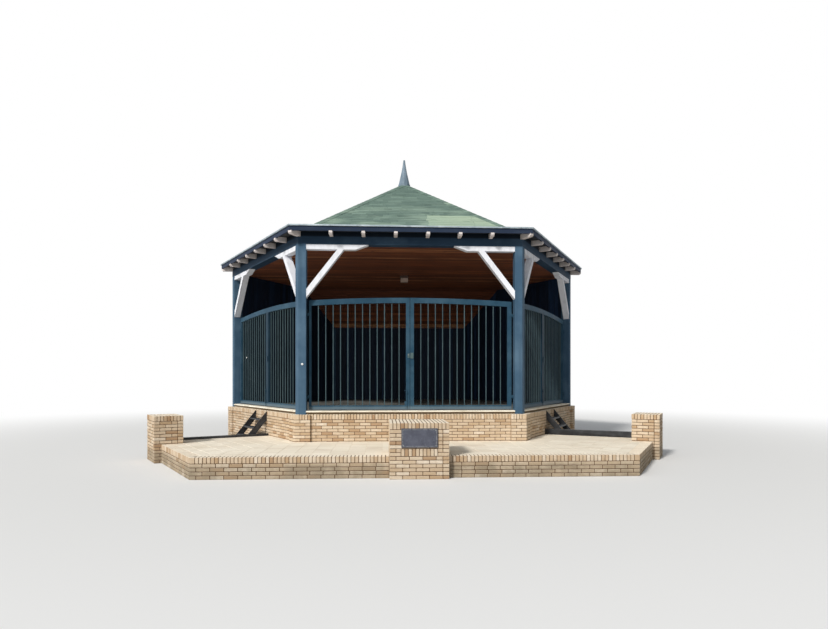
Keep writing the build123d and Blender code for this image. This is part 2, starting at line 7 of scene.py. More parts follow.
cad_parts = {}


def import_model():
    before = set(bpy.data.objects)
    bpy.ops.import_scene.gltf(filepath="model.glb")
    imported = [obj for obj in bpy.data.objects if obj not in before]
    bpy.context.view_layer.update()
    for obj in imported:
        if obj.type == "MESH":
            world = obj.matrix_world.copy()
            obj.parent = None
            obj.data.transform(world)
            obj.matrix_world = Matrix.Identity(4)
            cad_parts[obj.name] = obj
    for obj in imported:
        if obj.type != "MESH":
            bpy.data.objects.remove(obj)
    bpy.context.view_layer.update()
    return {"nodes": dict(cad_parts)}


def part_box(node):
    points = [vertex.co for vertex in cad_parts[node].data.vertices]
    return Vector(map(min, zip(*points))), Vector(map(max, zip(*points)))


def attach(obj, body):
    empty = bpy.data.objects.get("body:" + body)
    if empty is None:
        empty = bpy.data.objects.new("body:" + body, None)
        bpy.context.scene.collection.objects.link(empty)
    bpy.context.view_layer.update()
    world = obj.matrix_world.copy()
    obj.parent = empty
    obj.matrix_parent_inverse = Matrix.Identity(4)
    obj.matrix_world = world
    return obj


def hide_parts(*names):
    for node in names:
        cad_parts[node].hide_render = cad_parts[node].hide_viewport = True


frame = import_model()

# The bandstand's looks, in metres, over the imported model
# A side is laid out as the front one: x along it, y minus the distance from the centre,
# and turned about Z in steps of 60 degrees, front 0, front right 1, round to front left 5

random.seed(17)

SIDES = 6
STEP_ANGLE = radians(360 / SIDES)
TAN30 = tan(STEP_ANGLE / 2)
COS30 = cos(STEP_ANGLE / 2)
SIN30 = sin(STEP_ANGLE / 2)
HERE = Matrix.Identity(4)
OPEN_SIDES = {"front": 0, "front_right": 1, "front_left": 5}
BACK_SIDES = {"back_right": 2, "back": 3, "back_left": 4}


# Sizes read from the frame


def side(step):
    """From the axes of the front side to those of the side that many steps round."""
    return Matrix.Rotation(STEP_ANGLE * step, 4, "Z")


def corner_place(corner):
    """From axes in which the corner points along -Y to the numbered corner."""
    return side(corner - 0.5)


def side_box(node, step):
    """A node's lowest and highest corners in the axes of the side it stands on."""
    points = [side(-step) @ v.co for v in frame["nodes"][node].data.vertices]
    return [Vector([end(p[i] for p in points) for i in range(3)]) for end in (min, max)]


POST_OUT = -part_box("beam_front")[0].y
FRAME_IN = -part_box("beam_front")[1].y
CLEAR_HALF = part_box("beam_front")[1].x
BEAM_LOW, BEAM_TOP = (corner.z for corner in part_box("beam_front"))
PLINTH_OUT = -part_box("platform_wall_front")[0].y
WALL_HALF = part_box("platform_wall_front")[1].x
PLATFORM_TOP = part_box("platform_wall_front")[1].z
PIER_OUT = -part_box("platform_corner_piers")[0].y
PIER_LEG = PIER_OUT * TAN30 - WALL_HALF
SILL_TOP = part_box("sills")[1].z
TERRACE_OUT, TERRACE_IN = (-corner.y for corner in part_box("terrace_wall_front_left"))
TERRACE_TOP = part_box("terrace_wall_front_left")[1].z
CEILING_LOW, CEILING_TOP = (corner.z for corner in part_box("ceiling"))
DECK_LOW, DECK_TOP = (corner.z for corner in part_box("eave_deck"))
DECK_OUT = -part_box("eave_deck")[0].y
EAVE_OUT = -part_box("eave_trim")[0].y
FASCIA_OUT = -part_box("fascias")[0].y
FASCIA_LOW, FASCIA_TOP = (corner.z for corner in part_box("fascias"))
TAIL_OUT = -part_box("rafter_tails")[0].y
ROOF_OUT = -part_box("roof")[0].y
ROOF_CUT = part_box("roof")[1].z

# Masonry
BRICK_LONG = 0.210
BRICK_DEEP = 0.100
BRICK_EDGE = 0.0525
BRICK_EASE = 0.004
JOINT = 0.010
JOINT_DEEP = 0.006
COURSE = 0.0625
EDGE_COURSE = 0.100
FOOT = 0.002
SQUINT_LEGS = ((0.100, 0.200), (0.200, 0.100))
SQUINT_EDGE = 0.085
SQUINT_BACK = 0.001
BRICK_SET_BACK = (0.0003, 0.0018)
BRICK_LEAN = radians(0.2)
BRICK_TILT = radians(0.25)
BURNT_SHARE = 0.07
BURNT_TONE = 0.12
PLAQUE_COURSE = 6

# Paving
TILE = 0.300
TILE_JOINT = 0.004
TILE_THICK = 0.045
TILE_EASE = 0.002
TILE_UNEVEN = 0.0012
TILE_SLIVER = TILE * TILE / 60
BED_LOW = 0.080
BED_TOP = 0.004

# Boards
BOARD = 0.120
BOARD_EASE = 0.005
BOARD_GAP = 0.0015
CEILING_BOARD = 0.098
CEILING_EASE = 0.004
BEAM_LINING = 0.010
DECK_BOARD = 0.103
DECK_IN = POST_OUT - 0.400
DECK_MITRE = 0.002
DECK_EASE = 0.003
FELT_THICK = 0.004
FELT_UNDER_ROOF = 0.05
FELT_BACK = 0.001

# Timber of the ring and the eaves
BEAM_PROUD = 0.0015
BEAM_EASE = 0.005
SILL_SLAB = 0.035
TAILS = 6
TAIL_PITCH = 0.655
TAIL_WIDE = 0.072
HIP_TAIL_WIDE = 0.085
HIP_TAIL_SETBACK = 0.040
TAIL_BELOW = 0.020
TAIL_END_TOP = BEAM_TOP + 0.047
TAIL_BEVEL = 0.028
TAIL_EASE = 0.003
FASCIA_THICK = 0.030
NOTCH_ROOM = 0.001
TAIL_MIDDLES = [(i - (TAILS - 1) / 2) * TAIL_PITCH for i in range(TAILS)]

# Hood at the back
HOOD_THICK = 0.030
HOOD_RUN = 1.440
HOOD_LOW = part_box("rear_hood")[0].z + 0.027
HOOD_KNEE = HOOD_LOW + 0.035
HOOD_BACK = FRAME_IN - HOOD_THICK
HOOD_FRONT = HOOD_BACK - HOOD_RUN
HOOD_BATTEN = 0.150
HOOD_BATTEN_THICK = 0.014
HOOD_BATTEN_EASE = 0.002
HOOD_FOOT_EASE = 0.003
HOOD_DARKER = 0.25

# Gates, and the lock on the front ones: how far its case and keep stand off the leaves, and its height
LOCK_PROUD = 0.020
KEEP_PROUD = 0.010
LOCK_HEIGHT = 2.125
GATE_OUT = -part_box("gate_front_b")[0].y - LOCK_PROUD
GATE_THICK = 0.046
GATE_FOOT_GAP = 0.020
LOW_RAIL = 0.085
TOP_RAIL = 0.110
MEETING_STILE = 0.084
SEAM = -0.025
BAR_THICK = 0.018

# Roof covering
ROOF_RISE = 2.281
SHINGLE_SHOW = 0.145
SHINGLE_WIDE = 0.333
SHINGLE_THICK = 0.006
SHINGLE_SLOT = 0.006
SHINGLE_LAP = 0.012
SHINGLE_LIFT = 0.001
SHINGLE_SLIVER = 0.0005
CAP_SHOW = 0.200
CAP_LAP = 0.030
CAP_HALF = 0.125
CAP_PAST_HIP = 0.004
CAP_LIFT = 0.007
# A pale smooth zone low on the front's right, of wide sheets in the palest tone, is painted sunlight
PATCH_FROM = 0.30
PATCH_HIGH = 1.20
PATCH_SHEET = 1.00


# Small solids and the meshes they are gathered in


def loop_pairs(outline):
    return zip(outline, outline[1:] + outline[:1])


def area(outline):
    """Signed area of an outline, positive where it runs counter-clockwise."""
    return sum(a[0] * b[1] - b[0] * a[1] for a, b in loop_pairs(outline)) / 2


def counter_clockwise(outline):
    return outline if area(outline) > 0 else outline[::-1]


def clipped(outline, point, normal):
    """The part of a convex outline on the inner side of a line; normal points outwards."""
    kept = []
    for a, b in loop_pairs(outline):
        da, db = ((p[0] - point[0]) * normal[0] + (p[1] - point[1]) * normal[1] for p in (a, b))
        if da <= 0:
            kept.append(a)
        if da * db < 0:
            t = da / (da - db)
            kept.append((a[0] + (b[0] - a[0]) * t, a[1] + (b[1] - a[1]) * t))
    return kept


def neighbours(outline):
    """Every corner as a vector, between the ones before and after it."""
    corners = [Vector(corner) for corner in outline]
    return zip(corners[-1:] + corners[:-1], corners, corners[1:] + corners[:1])


def inset(outline, by):
    """A counter-clockwise outline with every edge moved inwards."""
    moved = []
    for before, here, after in neighbours(outline):
        first = (here - before).normalized()
        second = (after - here).normalized()
        inward = Vector((-first.y - second.y, first.x + second.x))
        moved.append(tuple(here + inward * by / max(0.3, 1 + first.dot(second))))
    return moved


def eased(outline, by):
    """An outline with its corners taken off."""
    return [tuple(here + (other - here).normalized() * by)
            for before, here, after in neighbours(outline) for other in (before, after)]


def rectangle(x0, x1, y0, y1):
    return [(x0, y0), (x1, y0), (x1, y1), (x0, y1)]


def band(out0, out1, gap=0.0):
    """Plan of a stretch of a side between two distances out, mitred at its ends, less a gap there."""
    half0, half1 = (out * TAN30 - gap for out in (out0, out1))
    return [(-half1, -out1), (half1, -out1), (half0, -out0), (-half0, -out0)]


def bent(arris, right_leg, left_leg, deep):
    """Plan round a corner that points along -Y, with a leg along each of its two sides."""
    right = (COS30 * right_leg, arris + SIN30 * right_leg)
    left = (-COS30 * left_leg, arris + SIN30 * left_leg)
    return [(0, arris), right, (right[0] - SIN30 * deep, right[1] + COS30 * deep),
            (0, arris + deep / COS30), (left[0] + SIN30 * deep, left[1] + COS30 * deep), left]


def shares(low, high, size, gap=0.0):
    """Ends of equal lengths of about a size that fill a stretch, each less the gap after it."""
    count = max(1, round((high - low) / size))
    pitch = (high - low) / count
    return [(low + i * pitch, low + (i + 1) * pitch - gap) for i in range(count)]


def lofted(rings):
    """Points and faces of a closed solid over rings, each counter-clockwise as seen from the last."""
    count = len(rings[0])
    points = [Vector(point) for ring in rings for point in ring]
    faces = [list(range(count))[::-1], list(range(len(points) - count, len(points)))]
    for start in range(0, len(points) - count, count):
        for i in range(count):
            a, b = start + i, start + (i + 1) % count
            faces.append([a, b, b + count, a + count])
    return points, faces


def prism(outline, low, high, ease_low=0.0, ease_high=0.0):
    """An upright prism, its lower and upper edges taken off where asked."""
    outline = counter_clockwise(outline)
    rings = [(low + ease_low, outline), (high - ease_high, outline)]
    if ease_low:
        rings.insert(0, (low, inset(outline, ease_low)))
    if ease_high:
        rings.append((high, inset(outline, ease_high)))
    return lofted([[(x, y, z) for x, y in ring] for z, ring in rings])


def sheet(outline, lift):
    """A thin closed plate over an outline, its top at the height that lift gives."""
    outline = counter_clockwise(outline)
    return lofted([[(x, y, 0) for x, y in outline], [(x, y, lift(x, y)) for x, y in outline]])


def turned(profile, segments):
    """A many-sided solid about the Z axis, from pairs of radius and height."""
    angles = [2 * pi * i / segments for i in range(segments)]
    rings = [[(radius * cos(a), radius * sin(a), height) for a in angles] for radius, height in profile]
    return lofted(rings)


def block_points(size, ease):
    """Three points at every corner of a box, each left on one of the three faces that meet there."""
    return [Vector([signs[i] * (size[i] / 2 - (0 if i == axis else ease)) for i in range(3)])
            for signs in product((-1, 1), repeat=3) for axis in range(3)]


def block_faces():
    """Faces of a box with its edges taken off: the points that lie furthest in each of 26 directions."""
    points = block_points((1, 1, 1), 0.1)
    faces = []
    for way in product((-1, 0, 1), repeat=3):
        if any(way):
            way = Vector(way)
            right = way.orthogonal()
            up = way.cross(right)
            furthest = max(point.dot(way) for point in points)
            ring = [i for i, point in enumerate(points) if point.dot(way) > furthest - 0.001]
            angles = {i: atan2(points[i].dot(up), points[i].dot(right)) for i in ring}
            faces.append(sorted(ring, key=angles.get))
    return faces


BLOCK_FACES = block_faces()


def linked(name, data):
    """A new object in the scene."""
    obj = bpy.data.objects.new(name, data)
    bpy.context.scene.collection.objects.link(obj)
    return obj


class Pile:
    """Small solids gathered into one mesh, each with a tone that its material reads."""

    def __init__(self):
        self.points = []
        self.faces = []
        self.tones = []
        self.skins = []

    def add(self, solid, place=HERE, tone=0.5, skin=0):
        points, faces = solid
        start = len(self.points)
        self.points += [place @ point for point in points]
        self.faces += [[start + i for i in face] for face in faces]
        self.tones += [tone] * len(points)
        self.skins += [skin] * len(faces)

    def shown(self, name, materials):
        mesh = bpy.data.meshes.new(name)
        mesh.from_pydata(self.points, [], self.faces)
        for material in materials:
            mesh.materials.append(material)
        mesh.polygons.foreach_set("material_index", self.skins)
        mesh.attributes.new("tone", "FLOAT", "POINT").data.foreach_set("value", self.tones)
        mesh.update()
        return linked(name, mesh)

    def piece(self, name, materials, replaced=(), body="structure"):
        """The pile as one piece on a body, which stands for the CAD nodes it replaces."""
        obj = self.shown(name, materials)
        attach(obj, body)
        if replaced:
            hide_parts(*replaced)


# Materials, their colours as seen on a screen, from 0 to 255


def colour(*channels):
    """A screen colour as the linear colour that a shader takes."""
    lit = [channel / 255 for channel in channels]
    return (*(v / 12.92 if v <= 0.04045 else ((v + 0.055) / 1.055) ** 2.4 for v in lit), 1)


class Nodes:
    """A node tree that is added to; three numbers for an input are a screen colour."""

    def __init__(self, tree):
        self.tree = tree

    def put(self, value, socket):
        if isinstance(value, bpy.types.NodeSocket):
            self.tree.links.new(value, socket)
        elif isinstance(value, tuple) and len(value) == 3:
            socket.default_value = colour(*value)
        else:
            socket.default_value = value

    def node(self, kind, inputs=None, **settings):
        made = self.tree.nodes.new(kind)
        for name, value in settings.items():
            setattr(made, name, value)
        for name, value in (inputs or {}).items():
            self.put(value, made.inputs[name])
        return made

    def math(self, operation, first, second=0.0):
        return self.node("ShaderNodeMath", {0: first, 1: second}, operation=operation).outputs[0]

    def times(self, first, second):
        return self.math("MULTIPLY", first, second)

    def along(self, place, way):
        """How far a place lies along a direction."""
        made = self.node("ShaderNodeVectorMath", {0: place, 1: way}, operation="DOT_PRODUCT")
        return made.outputs["Value"]

    def seen(self):
        """1 where the camera looks, directly, in a reflection or through glass."""
        path = self.node("ShaderNodeLightPath").outputs
        direct = self.math("MAXIMUM", path["Is Camera Ray"], path["Is Glossy Ray"])
        return self.math("MAXIMUM", direct, path["Is Transmission Ray"])

    def blend(self, share, first, second, output):
        """Sends one shader, and another by a share, to the tree's output."""
        made = self.node("ShaderNodeMixShader", {0: share, 1: first.outputs[0], 2: second.outputs[0]})
        self.put(made.outputs[0], self.tree.nodes[output].inputs["Surface"])


class Finish(Nodes):
    """A material built from noise, tones and bumps over the piece's own place."""

    def __init__(self, name, roughness, metallic=0.0, specular=0.5):
        self.material = bpy.data.materials.new(name)
        self.material.use_nodes = True
        super().__init__(self.material.node_tree)
        self.shader = self.tree.nodes["Principled BSDF"]
        self.set("Roughness", roughness)
        self.set("Metallic", metallic)
        self.set("Specular IOR Level", specular)
        self.place = self.node("ShaderNodeTexCoord").outputs["Object"]
        self.body = None
        self.height = None

    def set(self, name, value):
        self.put(value, self.shader.inputs[name])

    def noise(self, scale, detail=3, stretch=(1, 1, 1), rough=0.55):
        spread = self.node("ShaderNodeMapping", {"Vector": self.place, "Scale": Vector(stretch)})
        return self.node("ShaderNodeTexNoise", {"Vector": spread.outputs["Vector"], "Scale": scale,
                                                "Detail": detail, "Roughness": rough}).outputs["Fac"]

    def between(self, value, low, high):
        """0 up to low, 1 from high, smooth between."""
        return self.node("ShaderNodeMapRange", {"Value": value, "From Min": low, "From Max": high},
                         interpolation_type="SMOOTHSTEP").outputs["Result"]

    def fading(self, value, full, clean):
        """1 up to full, 0 from clean, smooth between."""
        return self.math("SUBTRACT", 1.0, self.between(value, full, clean))

    def patches(self, low, high, *noise):
        """Noise that is 0 up to low and 1 from high."""
        return self.between(self.noise(*noise), low, high)

    def z_of(self, vector):
        return self.node("ShaderNodeSeparateXYZ", {0: vector}).outputs["Z"]

    def up(self):
        """How far the surface faces upwards, from -1 to 1."""
        return self.z_of(self.node("ShaderNodeNewGeometry").outputs["Normal"])

    def place_z(self):
        return self.z_of(self.place)

    def below(self):
        """The height turned upside down, so that it grows downwards."""
        return self.times(self.place_z(), -1.0)

    def out(self):
        """Distance from the centre, square to the nearest side."""
        reach = 0.0
        for step in range(3):
            across = self.along(self.place, side(step) @ Vector((0, -1, 0)))
            reach = self.math("MAXIMUM", reach, self.math("ABSOLUTE", across))
        return reach

    def mix(self, share, first, second):
        return self.node("ShaderNodeMix", {"Factor": share, 6: first, 7: second}, data_type="RGBA").outputs[2]

    def paint(self, tint):
        self.body = tint
        self.set("Base Color", tint)

    def tones(self, stops):
        """Paints every solid by its tone, from stops of a tone and a colour."""
        tone = self.node("ShaderNodeAttribute", attribute_name="tone").outputs["Fac"]
        made = self.node("ShaderNodeValToRGB", {"Fac": tone})
        elements = made.color_ramp.elements
        while len(elements) < len(stops):
            elements.new(0.5)
        for element, (position, tint) in zip(elements, stops):
            element.position = position
            element.color = colour(*tint)
        self.paint(made.outputs["Color"])

    def stain(self, tint, share, mask):
        """Lays a colour over the paint by a mask, up to a share."""
        self.paint(self.mix(self.times(mask, share) if share < 1 else mask, self.body, tint))

    def bump(self, depth, *noise):
        inputs = {"Strength": 1.0, "Distance": depth, "Height": self.noise(*noise)}
        if self.height:
            inputs["Normal"] = self.height
        self.height = self.node("ShaderNodeBump", inputs).outputs["Normal"]
        self.set("Normal", self.height)


def layered(name, roughness, base, stains, bumps, metallic=0.0, specular=0.5):
    """A material of a base, stains over it and bumps.

    The base is a colour, or a list of stops of a tone and a colour. A stain is its colour and share,
    then what patches takes, and a bump its depth, then what noise takes.
    """
    made = Finish(name, roughness, metallic, specular)
    if isinstance(base, list):
        made.tones(base)
    else:
        made.paint(base)
    for tint, share, *patch in stains:
        made.stain(tint, share, made.patches(*patch))
    for bump in bumps:
        made.bump(*bump)
    return made


PAINT_GLOSS = 0.05
SHADE = (8, 12, 16)


def painted(name, tint, dust, roughness=0.45, grain=(1, 1, 1), grain_depth=0.0004, dirt_and_shades=()):
    """Weathered paint: a worn tone in patches, dust on what faces up, a faint brush or grain bump.

    Each mark laid over the paint, dirt or painted shade alike, is a measure, two of its values, a share
    and a colour, and that colour comes over the paint from the second value to the first.
    """
    made = Finish(name, roughness, specular=PAINT_GLOSS)
    worn = made.patches(0.42, 0.72, 1.6, 5)
    made.paint(made.mix(worn, tint, made.mix(0.35, tint, dust)))
    made.stain(made.mix(0.30, tint, SHADE), 0.45, made.patches(0.45, 0.7, 9, 4, grain))
    speck = made.math("ADD", made.times(made.patches(0.35, 0.65, 30, 3), 0.3), 0.35)
    made.stain(dust, 1, made.times(made.between(made.up(), 0.5, 0.95), speck))
    for measure, full, clean, most, dirt_and_shade_tint in dirt_and_shades:
        made.stain(dirt_and_shade_tint, most, made.fading(measure(made), full, clean))
    made.set("Roughness", made.math("ADD", made.times(worn, 0.15), roughness))
    made.bump(grain_depth, 40, 4, grain)
    return made.material


def meeting_stiles(step):
    """A measure for a side's two meeting stiles between their rails: 0 on them, growing away from them."""
    low = SILL_TOP + GATE_FOOT_GAP + LOW_RAIL
    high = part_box("gate_front_b")[1].z - TOP_RAIL

    def beyond(made, value, middle, half):
        return made.math("SUBTRACT", made.math("ABSOLUTE", made.math("SUBTRACT", value, middle)), half)

    def measure(made):
        across = made.along(made.place, side(step) @ Vector((1, 0, 0)))
        return made.math("MAXIMUM", beyond(made, across, SEAM, MEETING_STILE),
                         beyond(made, made.place_z(), (low + high) / 2, (high - low) / 2))

    return measure


def gate_steel(name, step=None):
    """The paint of the gates, dusty on the low rail, with painted shade on the meeting stiles of the given
    side.
    """
    rail_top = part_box("gate_front_a")[0].z + 0.05
    dirt_and_shades = [(Finish.place_z, rail_top, rail_top + 0.04, 0.45, (122, 136, 142))]
    if step:
        # Painted shade over the meeting stiles
        dirt_and_shades.append((meeting_stiles(step), 0.004, 0.010, 0.5, (20, 30, 38)))
    return painted(name, (44, 74, 94), (90, 118, 134), dirt_and_shades=dirt_and_shades)


def brick_finish(name, damp_share):
    """Yellow brick, with painted light on its tops, and a damp stain near the ground in the given share."""
    made = layered(name, 0.88, [
        (0.0, (174, 143, 113)), (0.18, (188, 161, 130)), (0.45, (205, 183, 156)), (0.75, (216, 198, 174)),
        (1.0, (229, 215, 196)),
    ], [
        ((178, 148, 112), 0.30, 0.35, 0.7, 14, 5),
        ((140, 108, 78), 0.35, 0.60, 0.72, 160, 2),
    ], [(0.0015, 55, 5), (0.0005, 240, 2)], specular=0.15)
    bloom = made.math("ADD", 0.55, made.times(made.patches(0.35, 0.65, 3.5, 4), 0.45))
    made.stain((144, 132, 112), damp_share, made.times(made.fading(made.place_z(), 0.18, 0.30), bloom))
    # Painted light: the tops paler, as where the sun falls on them
    made.stain((250, 240, 222), 0.85, made.between(made.up(), 0.6, 0.95))
    return made.material


def mortar_finish():
    made = layered("mortar", 0.95, (80, 60, 44), [], [(0.0012, 180, 3)], specular=0.2)
    made.stain((108, 84, 62), 1, made.noise(7, 4))
    return made.material


def shingle_finish():
    """Mineral felt shingles, every tab a little off in tone, with worn bands low down, algae and grit."""
    made = layered("green_felt", 0.93, [
        (0.0, (88, 108, 101)), (0.4, (104, 126, 117)), (0.8, (122, 144, 133)), (1.0, (172, 190, 168)),
    ], [], [(0.0010, 350, 2)], specular=0.2)
    bands = made.patches(0.42, 0.66, 1.1, 4, (1, 1, 5))
    made.stain((160, 181, 164), 0.60, made.times(bands, made.fading(made.place_z(), 4.9, 6.4)))
    made.stain((84, 106, 92), 0.35, made.patches(0.55, 0.75, 4, 5))
    made.stain((84, 100, 92), 0.22, made.patches(0.42, 0.62, 320, 2))
    return made.material


def zinc_finish(name, metallic, dull, bright):
    """Weathered sheet metal, with runs down its face."""
    made = layered(name, 0.42, dull, [
        (bright, 1, 0.35, 0.7, 4, 5),
        ((92, 104, 112), 0.4, 0.5, 0.72, 10, 4, (1, 1, 0.12)),
    ], [(0.0003, 60, 3)], metallic, 0.3)
    made.set("Roughness", made.patches(-0.6, 1.4, 6, 4))
    return made.material


def sill_finish():
    """Pale cast sill, with painted shade in the recess under its slab, and grey on its inner side."""
    made = layered("sill_concrete", 0.85, (247, 240, 224), [
        ((226, 214, 192), 1, 0.40, 0.72, 2.2, 5),
        ((196, 182, 158), 0.25, 0.55, 0.7, 120, 2),
    ], [(0.0010, 90, 4)], specular=0.2)
    slab = SILL_TOP - SILL_SLAB
    # Painted shade in the recess under the slab
    made.stain((132, 114, 90), 1, made.fading(made.place_z(), slab + 0.004, slab + 0.016))
    made.stain((58, 60, 62), 1, made.fading(made.out(), FRAME_IN + 0.010, FRAME_IN + 0.060))
    return made.material


def lamp_finish():
    """The lamp's glass, with its fixing in the brown of the ceiling."""
    made = layered("lamp_glass", 0.4, (196, 174, 160), [((150, 134, 118), 1, 0.45, 0.8, 12, 4)],
                   [(0.0002, 150, 3)])
    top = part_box("ceiling_lamp")[1].z
    made.stain((66, 42, 30), 1, made.between(made.place_z(), top - 0.066, top - 0.060))
    return made.material


def metal_finish(name, tint, roughness):
    made = layered(name, roughness, tint, [((70, 72, 74), 1, 0.4, 0.7, 40, 4)], [(0.0002, 200, 3)], 0.8)
    return made.material


# Paints
# The colour next is painted shade, laid on the beams' tops under the eaves and on the tails' inner ends near
# the beams
PAINTED_SHADE = (16, 19, 24)
LYING = (0.08, 0.08, 1)
TIMBER_BLUE = painted("petrol_timber", (68, 95, 118), (116, 143, 163), 0.5, (1, 1, 0.06), 0.0006)
# The beams' paint: the posts' paint made darker as painted shade, with painted shade deepening on their tops
# under the eaves
BEAM_BLUE_SHADED = painted("petrol_beam_shaded", (46, 66, 86), (82, 104, 124), 0.5, LYING, 0.0006,
                    [(Finish.below, -BEAM_TOP - 0.010, -BEAM_TOP + 0.030, 0.85, PAINTED_SHADE)])
STEEL_BLUE = gate_steel("petrol_steel")
# Copies of the gate paint with painted shade on the meeting stiles of the front right and front left gates
STEEL_RIGHT_SHADED_STILES = gate_steel("petrol_steel_right_shaded_stiles", 1)
STEEL_LEFT_SHADED_STILES = gate_steel("petrol_steel_left_shaded_stiles", 5)
# The bars' paler paint is a painted highlight: sunlight on them
SUNLIT_BAR_PAINT = painted("gate_bar_paint", (66, 85, 92), (98, 116, 120))
LOCK_PAINT = painted("lock_plate_paint", (84, 104, 106), (120, 132, 130))
FASCIA_BLUE = painted("fascia_blue", (45, 56, 76), (70, 80, 94), 0.5, LYING, 0.0005)
WHITE_PAINT = painted("white_timber", (241, 243, 250), (226, 226, 228), 0.5, (1, 1, 0.3), 0.0005)
# The tails' paint, with painted shade towards their inner ends at the beams
TAIL_PAINT = painted("tail_paint", (232, 223, 220), (170, 161, 152), 0.55, (0.4, 0.4, 1), 0.0006,
                     [(Finish.out, POST_OUT - 0.05, POST_OUT + 0.06, 0.7, PAINTED_SHADE)])

# Masonry and paving
BRICK = brick_finish("yellow_brick", 0.85)
PIER_BRICK = brick_finish("pier_brick", 0.10)
MORTAR = mortar_finish()
CONCRETE_STAIN = (90, 91, 88)
CONCRETE = layered("concrete", 0.85, (112, 113, 110), [
    (CONCRETE_STAIN, 1, 0.38, 0.68, 2.2, 5),
    (CONCRETE_STAIN, 0.35, 0.55, 0.7, 120, 2),
], [(0.0010, 90, 4)], specular=0.3).material
SILL = sill_finish()
PAVING = layered("paving", 0.85, [(0.0, (236, 224, 205)), (0.5, (243, 233, 215)), (1.0, (249, 240, 223))], [
    ((208, 193, 168), 0.35, 0.45, 0.75, 1.7, 5),
    ((188, 172, 146), 0.25, 0.58, 0.7, 170, 2),
], [(0.0008, 130, 3)], specular=0.3).material
SLATE = layered("slate", 0.5, (64, 67, 80), [
    ((84, 87, 101), 1, 0.35, 0.7, 5, 6),
    ((128, 132, 143), 0.4, 0.55, 0.7, 90, 2),
], [(0.0008, 30, 5, (1, 1, 3))]).material

# Brown stained ceiling boards with their grain along X, near-black navy boards with it upright,
# and the dark underside of the eaves
STAINED_GRAIN = (26, 5, (0.05, 1, 1), 0.6)
STAINED = layered("stained_boards", 0.55, [
    (0.0, (100, 54, 33)), (0.5, (144, 81, 49)), (0.9, (182, 111, 70)), (1.0, (210, 152, 108)),
], [
    ((88, 46, 27), 1, 0.35, 0.7, *STAINED_GRAIN),
    ((48, 24, 14), 0.7, 0.70, 0.76, 6, 2, (0.6, 1, 1)),
], [(0.0008, *STAINED_GRAIN)]).material
DARK_GRAIN = (24, 5, (1, 1, 0.05), 0.6)
DARK_BOARDS = layered("dark_boards", 0.6, [(0.0, (12, 23, 40)), (0.6, (20, 37, 60)), (1.0, (34, 58, 90))], [
    ((5, 7, 12), 0.5, 0.4, 0.7, *DARK_GRAIN),
    ((44, 54, 68), 0.10, 0.5, 0.8, 2, 4),
], [(0.0008, *DARK_GRAIN)], specular=0.2).material
DECK = layered("deck_boards", 0.6, [(0.0, (18, 21, 26)), (1.0, (32, 36, 42))],
               [((46, 48, 50), 1, 0.5, 0.75, 4, 5)], [(0.0006, 60, 4)]).material

# Roof, metal and fittings
SHINGLE = shingle_finish()
ZINC = zinc_finish("zinc", 0.5, (150, 164, 172), (186, 197, 203))
SPIRE_SHEET = zinc_finish("spire_sheet", 0.0, (104, 122, 136), (130, 147, 162))
BLACK_STEEL = layered("black_steel", 0.5, (26, 28, 32), [
    ((54, 56, 60), 1, 0.42, 0.75, 6, 5),
    ((92, 56, 36), 0.6, 0.66, 0.76, 11, 6),
], [(0.0005, 70, 4)]).material
LAMP = lamp_finish()
WHITE_PLASTIC = layered("white_plastic", 0.35, (228, 230, 230), [((150, 140, 124), 1, 0.45, 0.8, 12, 4)],
                        [(0.0002, 150, 3)]).material
BRIGHT_METAL = metal_finish("bright_metal", (168, 170, 170), 0.35)
DARK_METAL = metal_finish("dark_metal", (44, 46, 48), 0.5)


# Brick laying


def within(value, low=0.0, high=1.0):
    return min(high, max(low, value))


def brick_tone():
    return within(random.gauss(0.55, 0.19))


def brick(pile, place, x0, x1, out, deep, z0, z1):
    """One brick with its face at a distance out, its size, seat and tone a little off."""
    size = (x1 - x0, deep - 0.001, z1 - z0)
    back = random.uniform(*BRICK_SET_BACK)
    centre = Vector(((x0 + x1) / 2, -(out - deep / 2 - back), (z0 + z1) / 2))
    lean = Matrix.Rotation(random.gauss(0, BRICK_LEAN), 4, "Z")
    tilt = Matrix.Rotation(random.gauss(0, BRICK_TILT), 4, "Y")
    tone = brick_tone()
    if random.random() < BURNT_SHARE:
        tone = random.uniform(0, BURNT_TONE)
    pile.add((block_points(size, BRICK_EASE), BLOCK_FACES),
             place @ Matrix.Translation(centre) @ lean @ tilt, tone)


def stretchers(pile, place, x0, x1, out, z0, z1, shift=0):
    """A course of whole bricks, the first one cut to half where shift is set."""
    halves = shares(x0, x1 + JOINT, (BRICK_LONG + JOINT) / 2)
    firsts = [0] + list(range(1 if shift else 2, len(halves), 2))
    for first, after in zip(firsts, firsts[1:] + [len(halves)]):
        brick(pile, place, halves[first][0], halves[after - 1][1] - JOINT, out, BRICK_DEEP, z0, z1)


def on_edge(pile, place, x0, x1, out, deep, z0, z1):
    """A row of bricks on edge, their ends at the face."""
    for start, end in shares(x0, x1 + JOINT, BRICK_EDGE + JOINT, JOINT):
        brick(pile, place, start, end, out, deep, z0, z1)


def courses(top):
    """Heights of the courses from the ground up to a row on edge."""
    return shares(FOOT, top - EDGE_COURSE, COURSE, JOINT)


def squint(pile, corner, out, legs, deep, z0, z1):
    """A bent brick round a corner, with a leg along the side to the right and to the left."""
    plan = bent(SQUINT_BACK - out / COS30, *legs, deep)
    tone = brick_tone()
    pile.add(prism(plan, z0, z1, BRICK_EASE, BRICK_EASE), corner_place(corner), tone)


def core(pile, place, outline, top):
    """The mortar body behind the bricks, set back from their faces."""
    outline = inset(counter_clockwise(outline), JOINT_DEEP)
    pile.add(prism(outline, 0, top - JOINT_DEEP / 2), place, skin=1)


